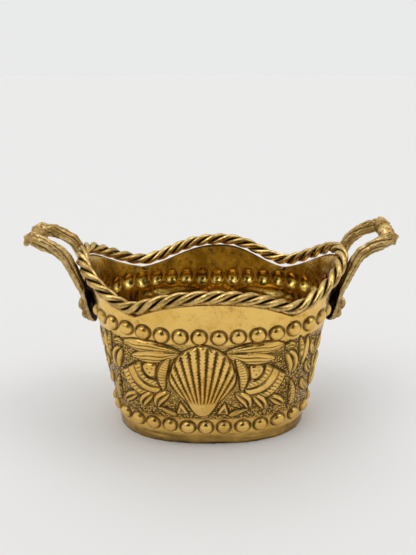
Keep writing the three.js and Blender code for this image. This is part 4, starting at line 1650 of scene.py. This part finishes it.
@dataclass
class TwigHandle:
    """A cast handle: leaf plate, two twig arms over the rope, and a knotted, leafy grip.

    The shells of its parts are merged into one skin by voxels, then chased with grooves. A bark
    groove is given by its angle round the arm and the width of its bell, in radians.
    """

    name: str
    node: str
    end: float
    body: Body
    rope: RimRope
    plate: LeafPlate
    arm_radius: float = 4.0
    arm_half_spacing: float = 16.0
    root_half_spacing: float = 14.0
    root_depth: float = 4.5
    arm_to_rope: float = 1.3
    grip_radius: float = 6.0
    grip_half_length: float = 11.0
    reach: float = 32.6
    grip_rise: float = 12.0
    tilt: float = 0.0
    knob_out: float = 0.0
    voxel: float = 0.46
    arm_sides: int = 48
    bark_grooves: tuple[tuple[float, float], ...] = (
        (0.3, 0.13), (1.15, 0.09), (1.9, 0.16), (2.8, 0.10), (3.6, 0.15), (4.4, 0.10), (5.3, 0.14))
    bark_depth: float = 0.70
    nick_depth: float = 0.30
    lump_rise: float = 0.26
    wound_leaves: int = 14
    wound_radius: float = 3.6
    wound_turn: float = 2.4

    def grip_centre(self) -> Array:
        """Middle of the grip: out past the rope and above it."""
        rope = self.rope.centre(np.array(0.0))
        x = rope[0] + self.rope.radius() + self.reach - self.grip_radius
        return np.array([x, 0.0, rope[2] + self.grip_rise])

    def lift(self, y: Array) -> Array:
        """How far the grip's tilt raises it at y: nothing at the front, all of it at the back."""
        return self.tilt * np.clip((y + self.grip_half_length) / (2 * self.grip_half_length), 0, 1)

    def arm_line(self, side: float) -> Array:
        """Middle line of one arm: up the plate, past the rope beside it, out to the grip.

        Args:
            side: -1 for the front arm, +1 for the back one.
        Returns:
            Places along it.
        """
        rope = self.rope.centre(np.array(0.0))
        share = self.arm_half_spacing / float(self.body.half_width(rope[2]))
        passing = rope[0] * self.body.beside(share) + self.rope.radius() + self.arm_radius + self.arm_to_rope
        grip = self.grip_centre()
        run = grip[0] - passing
        middle = self.plate.stand_off + self.plate.thickness / 2
        root = self.plate.point(self.root_half_spacing, self.plate.rise - self.root_depth, middle)
        below = self.plate.point(self.root_half_spacing - 3.5, 1.0, middle + 0.6)
        spacing = self.arm_half_spacing
        raised = self.tilt * (side > 0)
        knots = [
            tuple(below), tuple(root), (passing, spacing, rope[2]),
            (passing + 0.33 * run, spacing, rope[2] + 0.56 * self.grip_rise + 0.5 * raised),
            (passing + 0.66 * run, spacing - 1, rope[2] + 0.86 * self.grip_rise + 0.75 * raised),
            (grip[0] - 1.0, self.grip_half_length, grip[2] + raised),
        ]
        return spline(knots, 110) * np.array([1.0, side, 1.0])

    def _arms(self) -> list[Skin]:
        """Two arms with lengthwise ridges, thin at the plate and swollen where twigs were cut."""
        shells = []
        for side in (1.0, -1.0):
            line = self.arm_line(side)
            share = np.linspace(0, 1, len(line))
            around = angles(self.arm_sides)
            guide = np.tile([0.0, 1.0, 0.0], (len(line), 1))
            swell = 1.0 - 0.48 * smooth(0.32, 0.06, share) + 0.13 * smooth(0.45, 0.85, share)
            swell = swell + 0.08 * bell(share - 0.50, 0.06) + 0.10 * bell(share - 0.80, 0.05)
            ridge = 0.05 * np.cos(5 * around[None, :] + 4.0 * share[:, None] * side)
            radius = self.arm_radius * (swell[:, None] + ridge)
            shells.append(tube(line, guide, radius, self.arm_sides, False))
        return shells

    def _grooves(self, places: Array) -> Array:
        """Long grooves of the twig bark: bells of the angle round the nearest place of an arm.

        Args:
            places: Places on the skin.
        Returns:
            1 in the middle of a groove, 0 away from all of them.
        """
        cut = np.zeros(len(places))
        for side in (1.0, -1.0):
            line = self.arm_line(side)
            first, second = ring_frames(line, np.tile([0.0, 1.0, 0.0], (len(line), 1)), False)
            gap = np.full(len(places), np.inf)
            nearest = np.zeros(len(places), int)
            for number, spot in enumerate(line):
                away = ((places - spot) ** 2).sum(1)
                closer = away < gap
                gap = np.where(closer, away, gap)
                nearest = np.where(closer, number, nearest)
            offset = places - line[nearest]
            angle = np.arctan2((offset * second[nearest]).sum(1), (offset * first[nearest]).sum(1))
            share = nearest / (len(line) - 1)
            on_arm = smooth(5.6, 4.9, np.sqrt(gap)) * smooth(0.14, 0.26, share) * smooth(1.0, 0.93, share)
            wander = 0.25 * np.sin(9.0 * share + side) + 0.8 * share
            for start, width in self.bark_grooves:
                turn = np.angle(np.exp(1j * (angle - start - wander)))
                cut = np.maximum(cut, bell(turn, width) * on_arm)
        return cut

    def _leaflets(self) -> list[Skin]:
        """Small leaves cast on the plate's face, clear of the rivet heads."""
        shells = []
        out = self.plate.stand_off + self.plate.thickness + 0.4
        for across, up, lean, length in (
                (-11.0, -0.5, -0.5, 5.2), (11.0, -0.5, 0.5, 5.2), (-7.6, -9.0, -0.3, 4.6),
                (7.6, -9.0, 0.3, 4.6), (0.0, -15.2, 0.0, 3.6), (0.0, -1.2, 0.1, 4.8)):
            leaf = Sprig(tuple(0.01 * self.plate.out()), (0.0, lean, -1.0), length, 3.3, 2.9)
            centre = self.plate.point(np.array(across), np.array(up), np.array(out))
            shells.append(leaf.shell(centre))
        return shells

    def _grip(self) -> list[Skin]:
        """The cross piece of the grip and the leaves and buds wrapped round it."""
        centre = self.grip_centre()
        line = spline([(centre[0] - 1.0, y, centre[2] + rise + float(self.lift(np.array(y)))) for y, rise in
                       ((-11.5, -0.4), (-6.0, 0.6), (0.0, 0.0), (6.0, 0.8), (11.5, -0.4))], 60)
        bumps = 0.74 + 0.10 * np.sin(line[:, 1] * 0.95) + 0.05 * np.sin(line[:, 1] * 2.3)
        shells = [tube(line, np.tile([0.0, 0.0, 1.0], (60, 1)), self.grip_radius * bumps, 28, False)]
        for sprig in self._sprigs():
            raised = np.array([0.0, 0.0, float(self.lift(np.array(sprig.place[1])))])
            shells.append(sprig.shell(centre + raised))
        return shells

    def _sprigs(self) -> list[Sprig]:
        """Leaves and buds: a few listed one by one at the corners, the rest wound round the grip."""
        sprigs = [
            Sprig((2.6 + self.knob_out, -9.5, 0.8), (1.0, -0.5, 0.2), 4.6, 3.2, 2.2),
            Sprig((2.2 + self.knob_out, 9.5, 0.8), (1.0, 0.5, 0.3), 4.6, 3.2, 2.2)]
        for (x, y, z), (way_x, way_y, way_z), *size in (
                ((0.5, 12.0, 2.2), (-0.6, 0.5, 0.5), 4.8, 3.0, 2.0),
                ((-5.0, 12.5, 1.8), (-1.0, -0.2, -0.2), 5.0, 2.4, 1.8),
                ((-3.0, 8.0, -2.2), (-0.7, -0.7, -0.4), 4.4, 2.6, 1.8),
                ((3.4 + 1.6 * self.knob_out, 12.0, -1.2), (0.5, 0.2, -0.9), 3.6, 2.6, 1.9),
                ((-4.6, 5.0, 2.6), (-0.4, -0.9, 0.2), 4.6, 2.8, 2.0),
                ((-0.5, 4.0, 4.6), (0.8, -0.6, 0.0), 4.4, 2.8, 1.8)):
            sprigs += [Sprig((x, side * y, z), (way_x, side * way_y, way_z), *size) for side in (-1, 1)]
        for number in range(self.wound_leaves):
            along = -8.5 + 17.0 * number / (self.wound_leaves - 1)
            turn = self.wound_turn * number
            place = (-1.0 + self.wound_radius * math.cos(turn), along, self.wound_radius * math.sin(turn))
            way = (-0.5 * math.sin(turn), 0.8 * (-1) ** number, 0.5 * math.cos(turn))
            sprigs.append(Sprig(place, way, 3.4 + 0.8 * math.sin(3.1 * number), 2.2, 1.9))
        return sprigs

    def build(self, finishes: Finishes) -> Object:
        """Merges the shells, chases the skin, turns it to its end and dresses it."""
        shells = [self.plate.shell()] + self._leaflets() + self._arms() + self._grip()
        points, groups, first = [], [], 0
        for shell_points, shell_faces in shells:
            points.append(shell_points)
            groups += [np.asarray(group) + first for group in shell_faces]
            first += len(shell_points)
        rough = mesh_piece("handle_blank", np.vstack(points), groups)
        merge = rough.modifiers.new("skin", "REMESH")
        merge.mode = "VOXEL"
        merge.voxel_size = self.voxel * MM
        skin = bpy.data.meshes.new_from_object(rough.evaluated_get(bpy.context.evaluated_depsgraph_get()))
        bpy.data.objects.remove(rough)
        self._chase(skin)
        if self.end < 0:
            skin.transform(Matrix.Rotation(math.pi, 4, "Z"))
        skin.name = self.name
        skin.polygons.foreach_set("use_smooth", np.ones(len(skin.polygons), bool))
        piece = bpy.data.objects.new(self.name, skin)
        link(piece)
        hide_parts(self.node)
        return dress(outward(piece), "cast_brass", finishes.cast)

    def _chase(self, skin: Mesh) -> None:
        """Roughens the skin with cast lumps, nicks and bark grooves, and marks its hollows.

        A hollow is a place that lies below the average of its neighbours along its normal. The
        faces that look at the wall from close by get painted shade through the same mark.

        Args:
            skin: Merged mesh, changed in place.
        """
        count = len(skin.vertices)
        places, normals = np.empty(count * 3), np.empty(count * 3)
        skin.vertices.foreach_get("co", places)
        skin.vertices.foreach_get("normal", normals)
        places, normals = places.reshape(-1, 3) / MM, normals.reshape(-1, 3)
        edges = np.empty(len(skin.edges) * 2, np.int32)
        skin.edges.foreach_get("vertices", edges)
        a, b = edges.reshape(-1, 2).T

        def average(values: Array) -> Array:
            """Mean of the neighbours of each vertex."""
            total = np.zeros_like(values)
            np.add.at(total, a, values[b])
            np.add.at(total, b, values[a])
            near = np.bincount(a, minlength=count) + np.bincount(b, minlength=count)
            return total / (near[:, None] if values.ndim == 2 else near)

        smoothed = places
        for _ in range(3):
            smoothed = 0.5 * smoothed + 0.5 * average(smoothed)
        lump = self.lump_rise * (value_noise(smoothed, 3.2, 1.0) + value_noise(smoothed, 1.7, 2.0))
        nick = smooth(0.25, 0.75, value_noise(smoothed * np.array([1.0, 2.2, 2.2]), 2.1, 6.0))
        bark = self._grooves(smoothed)
        moved = smoothed + normals * (lump - self.nick_depth * nick - self.bark_depth * bark)[:, None]
        wide = moved
        for _ in range(8):
            wide = average(wide)
        hollow = smooth(0.03, 0.30, ((wide - moved) * normals).sum(1))
        for _ in range(2):
            hollow = 0.5 * hollow + 0.5 * average(hollow)
        hollow = np.clip(np.maximum(hollow * 0.8 + 0.25 * nick, 0.85 * bark), 0, 1)
        # Painted shade on the faces that look at the wall from close by.
        away = (smoothed - self.plate.point(np.array(0.0), np.array(0.0), np.array(0.0))) @ self.plate.out()
        behind = smooth(-0.1, -0.6, normals @ self.plate.out()) * smooth(7.0, 4.5, away)
        hollow = np.maximum(hollow, behind)
        skin.vertices.foreach_set("co", (moved * MM).astype(np.float32).ravel())
        layer = skin.attributes.new("hollow", "FLOAT", "POINT")
        layer.data.foreach_set("value", hollow.astype(np.float32))
        skin.update()


@dataclass(frozen=True)
class RivetPlace:
    """One rivet's name and its place on the plate."""

    name: str
    across: float
    up: float


@dataclass
class CopperRivets:
    """Three rivets for each handle, peened over roves inside the wall."""

    plate: LeafPlate
    places: tuple[RivetPlace, ...] = (
        RivetPlace("upper_front", -7.5, 9.5), RivetPlace("upper_back", 7.5, 9.5),
        RivetPlace("lower", 0.0, -10.0))
    head_radius: float = 2.5
    head_height: float = 1.7
    shank_radius: float = 1.3
    rove_radius: float = 3.25
    rove_thickness: float = 1.0
    peen_radius: float = 2.0
    peen_height: float = 0.8
    gap: float = 0.3
    bevel: float = 0.22
    head_edge: float = 0.25
    sides: int = 28

    def build(self, finishes: Finishes) -> list[Object]:
        """Makes a rivet and a rove at each place of each handle."""
        pieces = []
        for end_name, end in (("right", 1.0), ("left", -1.0)):
            for number, spot in enumerate(self.places):
                seed = number + (len(self.places) if end < 0 else 0)
                for kind, profile in (("rivet", self._rivet(spot)), ("rove", self._rove(spot))):
                    points, faces = self._aim(profile, spot, end, seed, kind == "rivet")
                    edge = 0.4 + 0.4 * value_noise(points, 1.2, 4.0)
                    name = f"{end_name}_{spot.name}_copper_{kind}"
                    piece = mesh_piece(name, points, faces, {"hollow": edge})
                    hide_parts(f"{end_name}_{kind}_{spot.name}")
                    pieces.append(dress(outward(piece), "copper", finishes.copper))
        return pieces

    def _rivet(self, spot: RivetPlace) -> list[tuple[float, float]]:
        """Radius and height corners: peened end, shank, and a domed head."""
        face = self.plate.stand_off + self.plate.thickness + self.gap
        back = -self.plate.wall_behind(spot.across, spot.up) - 2 * self.gap - self.rove_thickness
        dome_rise, peen_rise = self.head_height - self.head_edge, self.peen_height - self.gap
        dome = [(self.head_radius * math.cos(a), face + self.head_edge + dome_rise * math.sin(a))
                for a in np.linspace(0.0, 1.45, 8)]
        peen = [(self.peen_radius * math.cos(a), back - self.gap - peen_rise * math.sin(a))
                for a in np.linspace(1.35, 0.0, 5)]
        shank = [(self.shank_radius, back - self.gap), (self.shank_radius, face),
                 (self.head_radius * 0.96, face)]
        return [(0.0, back - self.peen_height)] + peen + shank + dome + [(0.0, face + self.head_height)]

    def _rove(self, spot: RivetPlace) -> list[tuple[float, float]]:
        """Radius and height corners of the washer: a closed ring section round the shank."""
        near = -self.plate.wall_behind(spot.across, spot.up) - self.gap - self.rove_thickness
        hole, rim, bevel = self.shank_radius + self.gap, self.rove_radius, self.bevel
        far = near + self.rove_thickness
        return [(hole, near + bevel), (hole + bevel, near), (rim - bevel, near), (rim, near + bevel),
                (rim, far - bevel), (rim - bevel, far), (hole + bevel, far), (hole, far - bevel)]

    def _aim(self, profile: list[tuple[float, float]], spot: RivetPlace, end: float, seed: int,
             solid: bool) -> Skin:
        """Spins a profile about the rivet's line, uneven by a little, and moves it to its place.

        Args:
            profile: Radius and height corners.
            spot: Rivet place.
            end: +1 for the right handle, -1 for the left one.
            seed: Number that picks the unevenness.
            solid: True when the profile starts and ends on the axis, False for a ring.
        Returns:
            Points and face groups.
        """
        if solid:
            points, faces = turned(profile, self.sides)
        else:
            points = spun(profile, self.sides).reshape(-1, 3)
            faces = [grid_faces(self.sides, len(profile), True, True)]
        wide = np.hypot(points[:, 0], points[:, 1])
        uneven = 1 + 0.05 * value_noise(points * 1.1 + seed * 5.0, 2.0, 1.0) * smooth(1.6, 2.2, wide)
        points = points * np.stack([uneven, uneven, np.ones_like(uneven)], 1)
        start = self.plate.point(np.array(spot.across), np.array(spot.up), np.array(0.0))
        side, line = np.array([0.0, 1.0, 0.0]), self.plate.out()
        placed = start + points @ np.stack([np.cross(side, line), side, line])
        return placed * np.array([end, end, 1.0]), faces


# ---- studio ----

@dataclass
class Studio:
    """Pale floor, soft lights and the camera."""

    floor_radius: float = 9.0
    floor_sides: int = 96
    floor_grey: Triple = (0.775, 0.78, 0.785)
    room_front: float = 0.66
    room_back: float = 0.74
    room_tint: Triple = (1.0, 0.995, 0.985)
    stand_darkness: float = 0.96
    backdrop: Triple = (0.815, 0.82, 0.82)
    camera_place: Triple = (-7.974, -377.496, 254.718)
    camera_aim: Triple = (-2.825, 0.0, 109.341)
    camera_roll: float = math.radians(0.0806)
    lens: float = 37.107

    def build(self) -> None:
        """Builds floor, lights, surroundings and camera."""
        self._floor()
        self._lights()
        self._surroundings()
        self._camera()

    def _floor(self) -> None:
        """A round pale sheet under the pot, far larger than the view."""
        points = spun([(self.floor_radius / MM, 0.0)], self.floor_sides)[:, 0]
        floor = mesh_piece("floor", points, [np.arange(self.floor_sides)[None, :]], flat=True)
        r = Recipe("pale_floor")
        floor.data.materials.append(r.shade(Base_Color=self.floor_grey, Roughness=0.75, Metallic=0.0,
                                            Specular_IOR_Level=0.25))

    def _lights(self) -> None:
        """Three broad soft lights: one from above, one high on the left, one high on the right."""
        for name, direction, width, strength, colour in (
                ("above", (0.06, -0.12, -1.0), 50.0, 0.62, (1.0, 0.99, 0.98)),
                ("high_left", (0.50, 0.34, -1.0), 36.0, 0.60, (1.0, 0.99, 0.97)),
                ("high_right", (-0.75, 0.10, -1.0), 26.0, 0.45, (1.0, 0.99, 0.98))):
            light = bpy.data.lights.new(name, "SUN")
            light.angle = math.radians(width)
            light.energy = strength
            light.color = colour
            lamp = bpy.data.objects.new(name, light)
            lamp.rotation_euler = Vector(direction).to_track_quat("-Z", "Y").to_euler()
            lamp.location = (0.0, 0.0, 1.0)
            link(lamp)

    def _surroundings(self) -> None:
        """Pale all round for the camera; for reflections a pale room with a dark stand in front."""
        world = bpy.data.worlds.new("surroundings")
        bpy.context.scene.world = world
        bench = NodeBench(world, "Generated")
        across, depth, rise = (bench.node("ShaderNodeSeparateXYZ", {}, {"Vector": bench.place}, axis)
                               for axis in "XYZ")
        room = depth.ramp(-0.9, 0.6, self.room_front, self.room_back)
        stand = abs(across).ramp(0.44, 0.38) * depth.ramp(-0.18, -0.26)
        stand = stand * rise.ramp(-0.04, 0.02) * rise.ramp(0.93, 0.88)
        glow = bench.node("ShaderNodeBackground", {}, {
            "Color": self.room_tint, "Strength": room * (1 - stand * self.stand_darkness)})
        seen = bench.node("ShaderNodeBackground", {}, {"Color": self.backdrop})
        to_camera = bench.node("ShaderNodeLightPath", {}, {}, "Is Camera Ray")
        bench.finish("ShaderNodeOutputWorld", bench.node(
            "ShaderNodeMixShader", {}, {"Fac": to_camera, 1: glow, 2: seen}))

    def _camera(self) -> None:
        """Camera in front, looking a little down, turned by a small roll."""
        camera = bpy.data.cameras.new("camera")
        camera.lens = self.lens
        camera.clip_start = 0.02
        camera.clip_end = 40.0
        eye, target = Vector(self.camera_place) * MM, Vector(self.camera_aim) * MM
        forward = (target - eye).normalized()
        right = forward.cross(Vector((0, 0, 1))).normalized()
        upright = right.cross(forward)
        cos, sin = math.cos(self.camera_roll), math.sin(self.camera_roll)
        turned_right = cos * right + sin * upright
        turned_up = cos * upright - sin * right
        basis = Matrix((turned_right, turned_up, -forward)).transposed().to_4x4()
        holder = bpy.data.objects.new("camera", camera)
        holder.matrix_world = Matrix.Translation(eye) @ basis
        link(holder)
        bpy.context.scene.camera = holder
        bpy.context.scene.view_settings.view_transform = "Standard"


# ---- assembly ----

def corners(box: tuple) -> list[list[float]]:
    """Lowest and highest corner as plain lists of numbers."""
    return [[float(number) for number in corner] for corner in box]


def main() -> None:
    logging.basicConfig(level=logging.INFO, format="%(name)s %(message)s")
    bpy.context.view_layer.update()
    body = Body()
    finishes = Finishes()
    pattern = WallPattern()
    rows_front = (BeadRow(18, 89.4, 4.3, -2.8), BeadRow(15, 15.0, 3.0, -5.0))
    rows_back = (BeadRow(18, 89.4, 4.3, 0.8), BeadRow(15, 15.0, 3.0, -5.0))
    for name, node, side, rows in (("pressed_front", "front_wall", -1.0, rows_front),
                                   ("pressed_back", "back_wall", 1.0, rows_back)):
        wall = PressedWall(name, side, body, rows, pattern).build(finishes)
        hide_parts(node)
    BasePlate(body).build(finishes)
    rope = RimRope(body)
    rope.build(finishes)
    SolderTacks().build(finishes)
    plate = LeafPlate(body)
    for name, node, end, tilt, knob_out in (("right_twig_handle", "right_handle", 1.0, 3.5, -1.4),
                                            ("left_twig_handle", "left_handle", -1.0, 0.0, 0.0)):
        TwigHandle(name, node, end, body, rope, plate, tilt=tilt, knob_out=knob_out).build(finishes)
    CopperRivets(plate).build(finishes)
    Studio().build()


if __name__ == "__main__":
    main()
